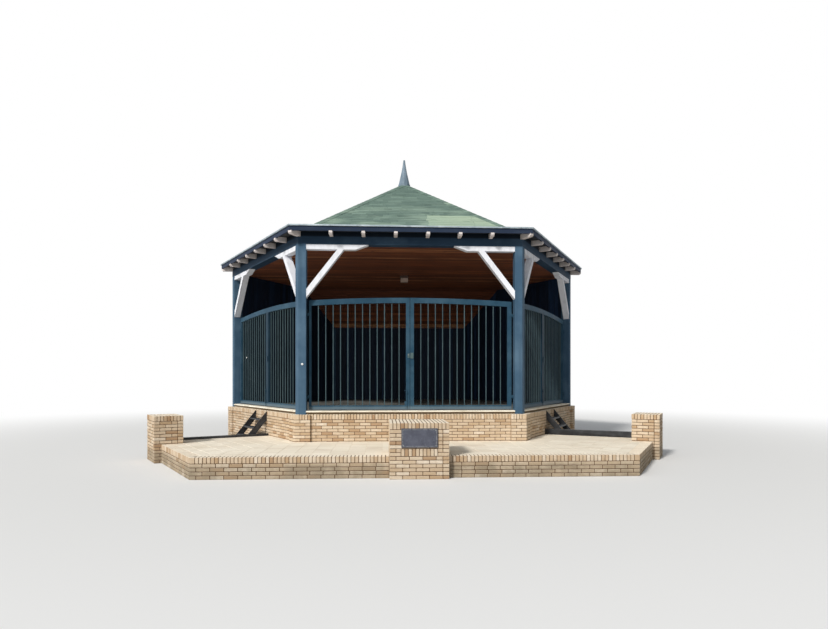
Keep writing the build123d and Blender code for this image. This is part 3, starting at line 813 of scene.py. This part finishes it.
def faces_round(place, x0, x1, out0, out1):
    """The four faces of a block on a side: place, start, end and distance, front first."""
    ends = [(x0, x1, out1), (-out1, -out0, x1), (-x1, -x0, -out0), (out0, out1, -x0)]
    return [(place @ Matrix.Rotation(quarter * pi / 2, 4, "Z"), *end) for quarter, end in enumerate(ends)]


def ordered(sign, a, b):
    """Two places on the right, or with the sign -1 those across from them, lower one first."""
    return (a, b) if sign > 0 else (-b, -a)


def round_corner(pile, corner, out, deep, top, stretches):
    """Courses and a row on edge that meet at a corner, with bent bricks round it.

    A stretch is 1 on the side to the right of the corner or -1 on the left one, and where it ends,
    measured from the middle of that side and away from the corner.
    """
    arris = out * TAN30
    ends = [(hand, side(corner if hand > 0 else corner - 1), end) for hand, end in stretches]
    for i, layer in enumerate(courses(top)):
        legs = SQUINT_LEGS[i % 2]
        squint(pile, corner, out, legs, BRICK_DEEP, *layer)
        for hand, place, end in ends:
            leg = legs[0 if hand > 0 else 1]
            stretchers(pile, place, *ordered(hand, leg + JOINT - arris, end), out, *layer)
    edge = (deep, top - EDGE_COURSE, top)
    squint(pile, corner, out, (SQUINT_EDGE, SQUINT_EDGE), *edge)
    for hand, place, end in ends:
        on_edge(pile, place, *ordered(hand, SQUINT_EDGE + JOINT - arris, end), out, *edge)


def cap_rows(pile, place, x0, x1, out0, out1, z0, z1):
    """Bricks on edge over a whole block, in rows from front and back and a cut row between."""
    step = BRICK_LONG + JOINT
    full = int((out1 - out0 + JOINT) / step)
    front = (full + 1) // 2
    for i in range(front):
        on_edge(pile, place, x0, x1, out1 - i * step, BRICK_LONG, z0, z1)
    for i in range(full - front):
        on_edge(pile, place, x0, x1, out0 + i * step + BRICK_LONG, BRICK_LONG, z0, z1)
    rest = out1 - out0 - full * step
    if rest > BRICK_EDGE / 2:
        on_edge(pile, place, x0, x1, out1 - front * step, rest - JOINT, z0, z1)


def pier(pile, place, x0, x1, out0, out1, top, row_half=0.0):
    """A pier whose faces run through in turn, under bricks on edge.

    Where half a width is given, a row on edge two courses tall of that width carries the plaque in front.
    """
    faces = faces_round(place, x0, x1, out0, out1)
    layers = courses(top)
    core(pile, place, rectangle(x0, x1, -out1, -out0), top)
    for i, (z0, z1) in enumerate(layers):
        for f, (face, start, end, out) in enumerate(faces):
            trim = 0 if (f + i) % 2 == 0 else BRICK_DEEP + JOINT
            spans = [(start + trim, end - trim)]
            if row_half and f == 0 and i - PLAQUE_COURSE in (0, 1):
                spans = [(start + trim, -row_half - JOINT), (row_half + JOINT, end - trim)]
            for a, b in spans:
                stretchers(pile, face, a, b, out, z0, z1)
    cap = (top - EDGE_COURSE, top)
    if row_half:
        row = (layers[PLAQUE_COURSE][0], layers[PLAQUE_COURSE + 1][1])
        on_edge(pile, place, -row_half, row_half, out1, BRICK_DEEP, *row)
        cap_rows(pile, place, x0, x1, out0, out1, *cap)
    else:
        cap_rows(pile, *faces[1][:3], x0, x1, *cap)


# Platform brickwork


def platform_walls(steps, name):
    pile = Pile()
    end = WALL_HALF + JOINT_DEEP
    half = WALL_HALF - JOINT / 2
    for step in steps:
        place = side(step)
        core(pile, place, rectangle(-end, end, -PLINTH_OUT, -FRAME_IN), PLATFORM_TOP)
        for i, (z0, z1) in enumerate(courses(PLATFORM_TOP)):
            stretchers(pile, place, -half, half, PLINTH_OUT, z0, z1, i % 2)
        on_edge(pile, place, -half, half, PLINTH_OUT, BRICK_LONG, PLATFORM_TOP - EDGE_COURSE, PLATFORM_TOP)
    pile.piece(name + "_bricks", [BRICK, MORTAR], [name])


def corner_piers():
    pile = Pile()
    end = PIER_LEG - PIER_OUT * TAN30
    plan = bent(-PIER_OUT / COS30, PIER_LEG, PIER_LEG, PIER_OUT - FRAME_IN)
    for corner in range(SIDES):
        round_corner(pile, corner, PIER_OUT, BRICK_LONG, PLATFORM_TOP, ((1, end), (-1, end)))
        core(pile, corner_place(corner), plan, PLATFORM_TOP)
    pile.piece("platform_corner_piers_bricks", [BRICK, MORTAR], ["platform_corner_piers"])


# Terrace brickwork


def flank_box(name):
    """Box of a node of the right flank, in that side's own axes."""
    return side_box(name + "_right", 1)


def terrace_walls():
    """The front and both flanks up to the piers, open where the plaque's pier stands."""
    pile = Pile()
    plaque_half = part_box("plaque_pier")[1].x
    pier_x = flank_box("terrace_pier")[0].x
    arris = TERRACE_OUT * TAN30
    inner = TERRACE_IN * TAN30
    for sign, corner in ((1, 1), (-1, 0)):
        stretches = ((-sign, -plaque_half - JOINT / 2), (sign, pier_x - JOINT / 2))
        round_corner(pile, corner, TERRACE_OUT, TERRACE_OUT - TERRACE_IN, TERRACE_TOP, stretches)
        for place, turn, end in ((side(0), sign, plaque_half * sign), (side(sign), -sign, pier_x * sign)):
            core(pile, place, [(arris * turn, -TERRACE_OUT), (end, -TERRACE_OUT), (end, -TERRACE_IN),
                               (inner * turn, -TERRACE_IN)], TERRACE_TOP)
    names = ["terrace_wall_front_left", "terrace_wall_front_right", "terrace_wall_left", "terrace_wall_right"]
    pile.piece("terrace_wall_bricks", [BRICK, MORTAR], names)


def end_wall(sign, name):
    """The low wall that closes the right flank (sign 1) or the left one (-1), one brick thick."""
    pile = Pile()
    low, high = flank_box("terrace_end_wall")
    x0, x1 = ordered(sign, low.x, high.x)
    core(pile, side(sign), rectangle(x0, x1, low.y, high.y), TERRACE_TOP)
    place, start, end, out = faces_round(side(sign), x0, x1, -high.y, -low.y)[sign]
    for i, layer in enumerate(courses(TERRACE_TOP)):
        stretchers(pile, place, start, end, out, *layer, i % 2)
    on_edge(pile, place, start, end, out, x1 - x0, TERRACE_TOP - EDGE_COURSE, TERRACE_TOP)
    pile.piece(name + "_bricks", [BRICK, MORTAR], [name])


def flank_pier(sign, name):
    pile = Pile()
    low, high = flank_box("terrace_pier")
    pier(pile, side(sign), *ordered(sign, low.x, high.x), -high.y, -low.y, high.z)
    pile.piece(name + "_bricks", [BRICK, MORTAR], [name])


def plaque_pier():
    pile = Pile()
    low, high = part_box("plaque_pier")
    pier(pile, side(0), low.x, high.x, -high.y, -low.y, high.z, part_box("plaque")[1].x)
    pile.piece("plaque_pier_bricks", [PIER_BRICK, MORTAR], ["plaque_pier"])


# Terrace paving


def steps_over(values, pitch):
    """Places at a pitch from the lowest of some values up to the highest."""
    place = min(values)
    while place < max(values):
        yield place
        place += pitch


def paved(pile, place, outline):
    """Square tiles over a convex stretch, cut along its edges, on a bed of mortar."""
    outline = counter_clockwise(outline)
    xs, ys = zip(*outline)
    for y in steps_over(ys, TILE):
        for x in steps_over(xs, TILE):
            tile = rectangle(x, x + TILE - TILE_JOINT, y, y + TILE - TILE_JOINT)
            for a, b in loop_pairs(outline):
                normal = Vector((b[1] - a[1], a[0] - b[0])).normalized()
                inside = (a[0] - normal.x * TILE_JOINT / 2, a[1] - normal.y * TILE_JOINT / 2)
                tile = clipped(tile, inside, normal)
            if len(tile) > 2 and abs(area(tile)) > TILE_SLIVER:
                top = TERRACE_TOP - random.uniform(0, TILE_UNEVEN)
                tone = within(random.gauss(0.5, 0.25))
                pile.add(prism(tile, top - TILE_THICK, top, 0, TILE_EASE), place, tone)
    pile.add(prism(outline, TERRACE_TOP - BED_LOW, TERRACE_TOP - BED_TOP), place, 0)


def paving():
    pile = Pile()
    plaque_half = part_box("plaque_pier")[1].x
    plaque_back = -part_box("plaque_pier")[1].y
    whole = band(PLINTH_OUT, TERRACE_IN)
    paved(pile, side(0), clipped(whole, (-plaque_half, 0), (1, 0)))
    paved(pile, side(0), rectangle(-plaque_half, plaque_half, -plaque_back, -PLINTH_OUT))
    paved(pile, side(0), clipped(whole, (plaque_half, 0), (-1, 0)))
    pier_low, pier_high = flank_box("terrace_pier")
    flat = clipped(whole, (flank_box("terrace_end_wall")[0].x, 0), (1, 0))
    behind_pier = clipped(flat, (0, pier_high.y), (0, -1))
    beside_pier = clipped(clipped(flat, (0, pier_high.y), (0, 1)), (pier_low.x, 0), (1, 0))
    for sign in (1, -1):
        for part in (behind_pier, beside_pier):
            paved(pile, side(sign), [(x * sign, y) for x, y in part])
    pile.piece("terrace_paving_tiles", [PAVING], ["terrace_paving"])


# Timber of the ring and the eaves


def ring_beams(steps, name):
    """Beams that lie over the post heads and meet in mitres, up to the deck."""
    pile = Pile()
    plan = band(FRAME_IN - BEAM_PROUD, POST_OUT + BEAM_PROUD)
    for step in steps:
        pile.add(prism(plan, BEAM_LOW, DECK_LOW, BEAM_EASE), side(step))
    pile.piece(name + "_timber", [BEAM_BLUE_SHADED], [name])


def tail(pile, place, start, end, wide):
    """A tail that runs outwards, its end cut under the fascia and bevelled below."""
    sideways = Matrix(((0, 0, -1, 0), (-1, 0, 0, 0), (0, 1, 0, 0), (0, 0, 0, 1)))
    low = BEAM_TOP - TAIL_BELOW
    neck = end - (TAIL_OUT - FASCIA_OUT) - FASCIA_THICK - NOTCH_ROOM
    outline = [(start, low), (end - TAIL_BEVEL, low), (end, low + TAIL_BEVEL), (end, TAIL_END_TOP),
               (neck, TAIL_END_TOP), (neck, DECK_LOW), (start, DECK_LOW)]
    pile.add(prism(outline, -wide / 2, wide / 2, TAIL_EASE, TAIL_EASE), place @ sideways)


def rafter_tails():
    pile = Pile()
    for step in range(SIDES):
        for middle in TAIL_MIDDLES:
            tail(pile, side(step) @ Matrix.Translation((middle, 0, 0)), POST_OUT, TAIL_OUT, TAIL_WIDE)
    pile.piece("rafter_tails_timber", [TAIL_PAINT], ["rafter_tails"])


def hip_tails():
    pile = Pile()
    start = POST_OUT / COS30 - HIP_TAIL_WIDE / 2
    end = EAVE_OUT / COS30 - HIP_TAIL_SETBACK
    for corner in range(SIDES):
        tail(pile, corner_place(corner), start, end, HIP_TAIL_WIDE)
    pile.piece("hip_tails_timber", [TAIL_PAINT], ["hip_tails"])


def fascia_boards():
    """Mitred boards round the eaves, notched over every tail."""
    notch_top = TAIL_END_TOP + NOTCH_ROOM
    tail_half = TAIL_WIDE / 2 + NOTCH_ROOM
    last_tail = TAIL_MIDDLES[-1] + TAIL_WIDE
    half = FASCIA_OUT * TAN30 - NOTCH_ROOM
    hip = half - (HIP_TAIL_WIDE / 2 + NOTCH_ROOM) / COS30
    edge = [(half, notch_top), (half, FASCIA_TOP), (-half, FASCIA_TOP), (-half, notch_top),
            (-hip, notch_top), (-hip, FASCIA_LOW)]
    for middle in TAIL_MIDDLES:
        edge += [(middle - tail_half, FASCIA_LOW), (middle - tail_half, notch_top),
                 (middle + tail_half, notch_top), (middle + tail_half, FASCIA_LOW)]
    edge += [(hip, FASCIA_LOW), (hip, notch_top)]
    mitre = FASCIA_THICK * TAN30
    back = [(x - mitre if x > last_tail else x + mitre if x < -last_tail else x, z) for x, z in edge]
    rings = [[(x, FASCIA_THICK - FASCIA_OUT, z) for x, z in back], [(x, -FASCIA_OUT, z) for x, z in edge]]
    for step in range(SIDES):
        pile = Pile()
        pile.add(lofted(rings), side(step))
        pile.piece("fascia_board_%d" % step, [FASCIA_BLUE], ["fascias"])


# Boards


def board_tone(light_share):
    if random.random() < light_share:
        return random.uniform(0.92, 1.0)
    return within(random.gauss(0.42, 0.2), high=0.9)


def boarded_side(step, name):
    """Upright boards with their corners taken off, and a thin lining of the beam over each."""
    pile = Pile()
    low, high = side_box(name, step)
    for x0, x1 in shares(low.x, high.x, BOARD):
        tone = board_tone(light_share=0.1)
        pile.add(prism(eased(rectangle(x0, x1, low.y, high.y), BOARD_EASE), low.z, high.z), side(step), tone)
        lining = rectangle(x0, x1, -FRAME_IN, -FRAME_IN + BEAM_LINING)
        pile.add(prism(lining, high.z, CEILING_LOW), side(step), tone)
    pile.piece(name + "_boards", [DARK_BOARDS], [name])


def room_half(y):
    """Half the room's width inside the frame, at a distance back or forward of the centre."""
    return FRAME_IN / COS30 - abs(y) * TAN30


def ceiling():
    pile = Pile()
    for y0, y1 in shares(-FRAME_IN, HOOD_FRONT, CEILING_BOARD, BOARD_GAP):
        ends = [y0, 0, y1] if y0 < 0 < y1 else [y0, y1]
        plan = [(room_half(y), y) for y in ends] + [(-room_half(y), y) for y in ends[::-1]]
        tone = board_tone(light_share=0.08)
        pile.add(prism(plan, CEILING_LOW, CEILING_TOP, CEILING_EASE), HERE, tone)
    pile.piece("ceiling_boards", [STAINED], ["ceiling"])


def hood():
    """Boards down the slope, a pale board under their foot and an edge against the rear wall."""
    pile = Pile()
    drop = CEILING_LOW - HOOD_KNEE
    length = hypot(HOOD_RUN, drop)
    slope = Matrix.Translation((0, HOOD_FRONT, CEILING_LOW)) @ Matrix.Rotation(-atan2(drop, HOOD_RUN), 4, "X")
    for t0, t1 in shares(0, length, CEILING_BOARD, BOARD_GAP):
        half0, half1 = (room_half(HOOD_FRONT + t * HOOD_RUN / length) for t in (t0, t1))
        plan = [(-half0, t0), (half0, t0), (half1, t1), (-half1, t1)]
        tone = max(0, board_tone(light_share=0.14) - HOOD_DARKER)
        pile.add(prism(plan, 0, HOOD_THICK, CEILING_EASE), slope, tone)
    half = room_half(FRAME_IN)
    foot = rectangle(-half, half, HOOD_BACK, FRAME_IN)
    pile.add(prism(foot, HOOD_LOW, HOOD_KNEE, HOOD_FOOT_EASE), tone=0.1)
    half = room_half(HOOD_BACK)
    batten = rectangle(-half, half, length - HOOD_BATTEN, length)
    pile.add(prism(batten, -HOOD_BATTEN_THICK, 0, HOOD_BATTEN_EASE), slope, tone=1.0)
    pile.piece("rear_hood_boards", [STAINED], ["rear_hood"])


def eave_deck():
    """Boards under the eaves, along every side, with the roof's felt lying on them."""
    pile = Pile()
    felt = band(ROOF_OUT - FELT_UNDER_ROOF, DECK_OUT - FELT_BACK)
    for step in range(SIDES):
        for out0, out1 in shares(DECK_IN, DECK_OUT, DECK_BOARD, BOARD_GAP):
            board = band(out0, out1, DECK_MITRE)
            pile.add(prism(board, DECK_LOW, DECK_TOP, DECK_EASE), side(step), random.random())
        pile.add(prism(felt, DECK_TOP, DECK_TOP + FELT_THICK), side(step), tone=0.35, skin=1)
    pile.piece("eave_deck_boards", [DECK, SHINGLE], ["eave_deck"])


# Roof covering

SLOPE = hypot(ROOF_OUT, ROOF_RISE)
SLOPE_LONG = (ROOF_CUT - DECK_TOP) / ROOF_RISE * SLOPE
FOOT_HALF = ROOF_OUT * TAN30
NARROWING = ROOF_OUT / SLOPE * TAN30


def roof_place(step):
    """Axes on a roof side: x along the foot, y up the slope, z out of the roof."""
    foot = Matrix.Translation((0, -ROOF_OUT, DECK_TOP))
    return side(step) @ foot @ Matrix.Rotation(atan2(ROOF_RISE, ROOF_OUT), 4, "X")


def shingles():
    pile = Pile()
    hips = [((FOOT_HALF * sign, 0), Vector((sign, NARROWING)).normalized()) for sign in (1, -1)]
    for step in range(SIDES):
        place = roof_place(step)
        for row, (s0, s1) in enumerate(shares(0, SLOPE_LONG, SHINGLE_SHOW, -SHINGLE_LAP)):
            s0 -= SHINGLE_LAP if row == 0 else 0
            half = FOOT_HALF - s0 * NARROWING
            u = -half - random.uniform(0, SHINGLE_WIDE)
            row_tone = random.uniform(-0.08, 0.08)
            while u < half:
                # Low on the front's right the tabs are wide smooth sheets in the palest tone: painted
                # sunlight
                in_sun_patch = step == 0 and u > PATCH_FROM and s0 < PATCH_HIGH
                wide = PATCH_SHEET if in_sun_patch else SHINGLE_WIDE * random.choice((0.5, 1, 1, 1))
                low = s0 + random.uniform(-0.002, 0.002)
                tab = rectangle(u, u + wide - SHINGLE_SLOT, low, s1)
                for foot, outwards in hips:
                    tab = clipped(tab, foot, outwards)
                if len(tab) > 2 and abs(area(tab)) > SHINGLE_SLIVER:
                    thick = SHINGLE_THICK * random.uniform(0.8, 1.2)
                    tone = within(random.gauss(0.42, 0.15) + row_tone, high=0.82)
                    if in_sun_patch:
                        tone = random.uniform(0.95, 1.0)
                    wedge = sheet(tab, lambda x, y: thick * (s1 - y) / (s1 - low) + SHINGLE_LIFT)
                    pile.add(wedge, place, tone)
                u += wide
    hip_caps(pile)
    pile.piece("roof_shingles", [SHINGLE])


def hip_caps(pile):
    """Bent cap shingles over the six hips, as two wings each."""
    origin = Vector((-FOOT_HALF, 0))
    along = Vector((NARROWING, 1)).normalized()
    across = Vector((along.y, -along.x))
    for hip in range(SIDES):
        for start, end in shares(0, SLOPE_LONG * hypot(1, NARROWING), CAP_SHOW, -CAP_LAP):
            tone = within(random.gauss(0.45, 0.2))
            thick = SHINGLE_THICK * random.uniform(0.9, 1.2)
            low, high = origin + along * start, origin + along * end
            plan = [low - across * CAP_PAST_HIP, low + across * CAP_HALF,
                    high + across * CAP_HALF, high - across * CAP_PAST_HIP]
            for wing, step in ((1, hip), (-1, hip - 1)):

                def lift(x, y):
                    way = (Vector((x * wing, y)) - origin).dot(along)
                    return CAP_LIFT + thick * (end - way) / (end - start)

                pile.add(sheet([(p.x * wing, p.y) for p in plan], lift), roof_place(step), tone)


# Finial

SPIRE_FACES = 12
SPIRE_STAGES = 12
SKIRT_PROUD = 0.010
SKIRT_TALL = 0.080
SKIRT_HEM = 0.004
SKIRT_SHOULDER = 0.012
SPIRE_FOOT = 0.152
SPIRE_BEND = 0.034
SPIRE_BEND_BELOW = 0.195
SPIRE_TIP = 0.024
TIP_ROUNDED = 0.006


def pulled(t, end, bend, start):
    """A value on a curve from start (t 1) to end (t 0) that a third value pulls at."""
    return (1 - t) ** 2 * end + 2 * t * (1 - t) * bend + t * t * start


def finial():
    """A spike of folded sheet that curves in from a short skirt to a blunt tip."""
    pile = Pile()
    low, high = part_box("finial")
    skirt = high.x + SKIRT_PROUD
    tall = high.z - low.z
    turn = SKIRT_SHOULDER / 4
    profile = [(skirt - SKIRT_HEM, 0), (skirt, SKIRT_HEM), (skirt, SKIRT_TALL - SKIRT_SHOULDER),
               (skirt - turn, SKIRT_TALL - 2 * turn), (SPIRE_FOOT + turn, SKIRT_TALL)]
    for i in range(SPIRE_STAGES + 1):
        t = 1 - i / SPIRE_STAGES
        height = pulled(t, tall, tall - SPIRE_BEND_BELOW, SKIRT_TALL) + 0.001
        profile.append((pulled(t, SPIRE_TIP, SPIRE_BEND, SPIRE_FOOT), min(height, tall - TIP_ROUNDED)))
    profile += [(SPIRE_TIP * 0.75, tall - TIP_ROUNDED / 3), (SPIRE_TIP * 0.4, tall)]
    pile.add(turned(profile, SPIRE_FACES), Matrix.Translation((0, 0, low.z)))
    pile.piece("finial_sheet", [SPIRE_SHEET], ["finial"])


# Fittings

SCREW_FROM_EDGE = 0.034
BORDER_FROM_EDGE = 0.018
BORDER_WIDE = 0.006
BORDER_BACK = 0.002
PLAQUE_FIELD_BACK = 0.006


def disc(name, spot, radius, thick, dome, material, segments, body="structure", place=HERE):
    """A round plate that stands on a spot of a face and out along -Y, edges taken off."""
    edge = min(radius, thick) * 0.25
    crown = (radius * 0.5, thick + dome * 0.75)
    profile = [(radius, 0), (radius, thick - edge), (radius - edge, thick), crown]
    pile = Pile()
    pile.add(turned(profile, segments), place @ Matrix.Translation(spot) @ Matrix.Rotation(pi / 2, 4, "X"))
    pile.piece(name, [material], (), body)


def plaque_screws():
    low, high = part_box("plaque")
    for i, x in enumerate((low.x + SCREW_FROM_EDGE, high.x - SCREW_FROM_EDGE)):
        for j, z in enumerate((low.z + SCREW_FROM_EDGE, high.z - SCREW_FROM_EDGE)):
            disc("plaque_screw_%d%d" % (i, j), (x, low.y + PLAQUE_FIELD_BACK, z),
                 radius=0.007, thick=0.003, dome=0.002, material=BRIGHT_METAL, segments=16)


def plaque_border():
    """A thin pale bead round the plaque's field."""
    low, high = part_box("plaque")
    x0, x1 = low.x + BORDER_FROM_EDGE, high.x - BORDER_FROM_EDGE
    z0, z1 = low.z + BORDER_FROM_EDGE, high.z - BORDER_FROM_EDGE
    wide = BORDER_WIDE
    pile = Pile()
    for a, b, c, d in ((x0, x1, z0, z0 + wide), (x0, x1, z1 - wide, z1),
                       (x0, x0 + wide, z0 + wide, z1 - wide), (x1 - wide, x1, z0 + wide, z1 - wide)):
        pile.add(prism(rectangle(a, b, low.y + BORDER_BACK, low.y + PLAQUE_FIELD_BACK), c, d))
    pile.piece("plaque_border", [BRIGHT_METAL])


PLATE_THICK = 0.0012
PLATE_RIM = 0.003
CASE_WIDE = 0.070
CASE_HALF_TALL = 0.063
KEEP_WIDE = 0.048
KEEP_HALF_TALL = 0.048
KEY_FROM_SEAM = 0.030


def lock_plate(name, body, x0, x1, face, half_tall):
    """A thin plate on a face, kept inside the case that it lies on."""
    pile = Pile()
    plan = rectangle(x0 + PLATE_RIM, x1 - PLATE_RIM, face - PLATE_THICK, face)
    half = half_tall - PLATE_RIM
    pile.add(prism(plan, LOCK_HEIGHT - half, LOCK_HEIGHT + half))
    pile.piece(name, [LOCK_PAINT], (), body)


def lock_face():
    """Face plates of the lock on both front leaves, and a round rose with its key slot on the left one."""
    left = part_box("gate_front_a")[1].x
    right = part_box("gate_front_b")[0].x
    keep = -GATE_OUT - KEEP_PROUD
    rose = (left - KEY_FROM_SEAM, keep - PLATE_THICK, LOCK_HEIGHT + 0.016)
    slot = (left - KEY_FROM_SEAM, keep - 0.0060, LOCK_HEIGHT + 0.013)
    lock_plate("lock_case_plate", "gate_front_b", right, right + CASE_WIDE, -GATE_OUT - LOCK_PROUD,
               CASE_HALF_TALL)
    lock_plate("lock_keep_plate", "gate_front_a", left - KEEP_WIDE, left, keep, KEEP_HALF_TALL)
    disc("lock_rose", rose, radius=0.012, thick=0.004, dome=0.001, material=BRIGHT_METAL, segments=32,
         body="gate_front_a")
    disc("lock_key_slot", slot, radius=0.0055, thick=0.0015, dome=0, material=DARK_METAL, segments=20,
         body="gate_front_a")


def round_fittings():
    """The small white round fittings on the front left post and on a bar of the left gates."""
    on_post = (-CLEAR_HALF - 0.075, -POST_OUT, 1.94)
    on_bar = (-1.618, -GATE_OUT + 0.014, 2.205)
    disc("post_fitting", on_post, radius=0.024, thick=0.012, dome=0.004, material=WHITE_PLASTIC, segments=28)
    disc("gate_fitting", on_bar, radius=0.020, thick=0.010, dome=0.004, material=WHITE_PLASTIC, segments=28,
         body="gate_front_left_a", place=side(5))


# Dressing of the CAD nodes, by the start of their names: a material and how much their edges are eased

LOOKS = {
    "ground_slab": (CONCRETE, 0),
    "platform_floor": (CONCRETE, 0),
    "sills": (SILL, 0.004),
    "post_": (TIMBER_BLUE, 0.004),
    "beam": (BEAM_BLUE_SHADED, 0.004),
    "braces_": (WHITE_PAINT, 0.003),
    "hinge_pins_": (STEEL_BLUE, 0),
    "gate_front_right_": (STEEL_RIGHT_SHADED_STILES, 0.0015),
    "gate_front_left_": (STEEL_LEFT_SHADED_STILES, 0.0015),
    "gate_": (STEEL_BLUE, 0.0015),
    "boarded_side_": (DARK_BOARDS, 0),
    "ceiling_lamp": (LAMP, 0.003),
    "ceiling": (STAINED, 0),
    "rear_hood": (STAINED, 0),
    "rafter_tails": (TAIL_PAINT, 0.003),
    "hip_tails": (TAIL_PAINT, 0.003),
    "fascias": (FASCIA_BLUE, 0.002),
    "eave_deck": (DECK, 0),
    "eave_trim": (ZINC, 0.002),
    "roof": (SHINGLE, 0),
    "finial": (ZINC, 0),
    "plaque_pier": (BRICK, 0),
    "plaque": (SLATE, 0.002),
    "platform_": (BRICK, 0),
    "terrace_paving": (PAVING, 0),
    "terrace_edge_bar": (BLACK_STEEL, 0.003),
    "terrace_": (BRICK, 0),
    "steps_": (BLACK_STEEL, 0.0015),
}


WELD_WITHIN = 0.00002
SHARP = radians(35)


def ease_edges(obj, width):
    """Welds a node's split corners and rounds its edges a little, by modifiers alone."""
    obj.modifiers.new("weld", "WELD").merge_threshold = WELD_WITHIN
    bevel = obj.modifiers.new("edges", "BEVEL")
    bevel.width = width
    bevel.segments = 2
    bevel.limit_method = "ANGLE"
    bevel.angle_limit = SHARP
    bevel.harden_normals = False


def paint_bars(node, step):
    """Gives the bars of a gate leaf a paler paint of their own, a painted highlight of sun on them, from the
    depth at which their faces lie.
    """
    mesh = frame["nodes"][node].data
    mesh.materials.append(SUNLIT_BAR_PAINT)
    middle = -GATE_OUT + GATE_THICK / 2
    for face in mesh.polygons:
        depths = [(side(-step) @ mesh.vertices[i].co).y for i in face.vertices]
        if all(abs(depth - middle) < BAR_THICK * 0.55 for depth in depths):
            face.material_index = 1


def dress():
    for name, obj in frame["nodes"].items():
        material, width = next(look for start, look in LOOKS.items() if name.startswith(start))
        obj.data.materials.clear()
        obj.data.materials.append(material)
        if width:
            ease_edges(obj, width)
    for name, step in OPEN_SIDES.items():
        for leaf in "ab":
            paint_bars("gate_%s_%s" % (name, leaf), step)


# Stage, light and camera

FLOOR_HALF = 120
FLOOR_GREY = (0.45, 0.45, 0.45, 1)
FLOOR_PALE = (0.80, 0.80, 0.80, 1)
FLOOR_WHITENS = (8.0, 22.0)


def stage():
    """A pale floor that turns white with distance."""
    made = Finish("stage_floor", 0.9, specular=0.1)
    seen = made.seen()
    made.paint(made.mix(seen, FLOOR_GREY, FLOOR_PALE))
    far = made.node("ShaderNodeVectorMath", {0: made.place}, operation="LENGTH").outputs["Value"]
    share = made.times(made.between(far, *FLOOR_WHITENS), seen)
    made.blend(share, made.shader, made.node("ShaderNodeEmission"), "Material Output")
    pile = Pile()
    corners = rectangle(-FLOOR_HALF, FLOOR_HALF, -FLOOR_HALF, FLOOR_HALF)
    pile.add(([Vector((x, y, 0)) for x, y in corners], [[0, 1, 2, 3]]))
    floor = pile.shown("stage_floor", [made.material])


# Soft light, fuller from the front left and weaker from the right, and the sun
FILL_FROM = Vector((-0.55, -0.65, 0.52))
FILL_AWAY = -0.35
FILL_LOW = 0.05
FILL_HIGH = 0.72
FILL_TINT = (0.93, 0.97, 1.0, 1)
SUN_FROM = Vector((-0.55, -0.75, 0.66))
SUN_STRENGTH = 2.9
SUN_SOFTNESS = radians(8)
SUN_TINT = (1.0, 0.97, 0.92)


def world():
    """An even white backdrop, and the soft light that falls on the piece instead of it."""
    made = bpy.data.worlds.new("studio")
    made.use_nodes = True
    bpy.context.scene.world = made
    nodes = Nodes(made.node_tree)
    place = nodes.node("ShaderNodeTexCoord").outputs["Generated"]
    toward = nodes.along(place, FILL_FROM.normalized())
    strength = nodes.node("ShaderNodeMapRange", {
        "Value": toward, "From Min": FILL_AWAY, "From Max": 1.0, "To Min": FILL_LOW, "To Max": FILL_HIGH,
    })
    fill = nodes.node("ShaderNodeBackground", {"Color": FILL_TINT, "Strength": strength.outputs["Result"]})
    backdrop = nodes.tree.nodes["Background"]
    backdrop.inputs["Color"].default_value = (1, 1, 1, 1)
    nodes.blend(nodes.seen(), fill, backdrop, "World Output")


def sun():
    lamp = bpy.data.lights.new("sun", "SUN")
    lamp.energy = SUN_STRENGTH
    lamp.angle = SUN_SOFTNESS
    lamp.color = SUN_TINT
    linked("sun", lamp).rotation_euler = SUN_FROM.to_track_quat("Z", "Y").to_euler()


# The photograph's viewpoint: eye height of a standing person, a little right of square on
CAMERA_PLACE = (-0.614, -16.184, 1.6)
CAMERA_TURN = -3.1207
CAMERA_LENS = 25.78
CAMERA_SHIFT = 0.0801


def camera():
    made = bpy.data.cameras.new("camera")
    made.lens = CAMERA_LENS
    made.sensor_width = 36
    made.shift_y = CAMERA_SHIFT
    obj = linked("camera", made)
    obj.location = CAMERA_PLACE
    obj.rotation_euler = (radians(90), 0, radians(CAMERA_TURN))
    bpy.context.scene.camera = obj


dress()
for side_name, side_step in OPEN_SIDES.items():
    platform_walls([side_step], "platform_wall_" + side_name)
platform_walls(BACK_SIDES.values(), "platform_walls_back")
corner_piers()
terrace_walls()
for flank_sign, flank_name in ((1, "right"), (-1, "left")):
    end_wall(flank_sign, "terrace_end_wall_" + flank_name)
    flank_pier(flank_sign, "terrace_pier_" + flank_name)
plaque_pier()
paving()
for side_name, side_step in OPEN_SIDES.items():
    ring_beams([side_step], "beam_" + side_name)
ring_beams(BACK_SIDES.values(), "beams_back")
rafter_tails()
hip_tails()
fascia_boards()
for side_name, side_step in BACK_SIDES.items():
    boarded_side(side_step, "boarded_side_" + side_name)
ceiling()
hood()
eave_deck()
shingles()
finial()
plaque_screws()
plaque_border()
lock_face()
round_fittings()

stage()
world()
sun()
camera()
bpy.context.scene.view_settings.view_transform = "Standard"
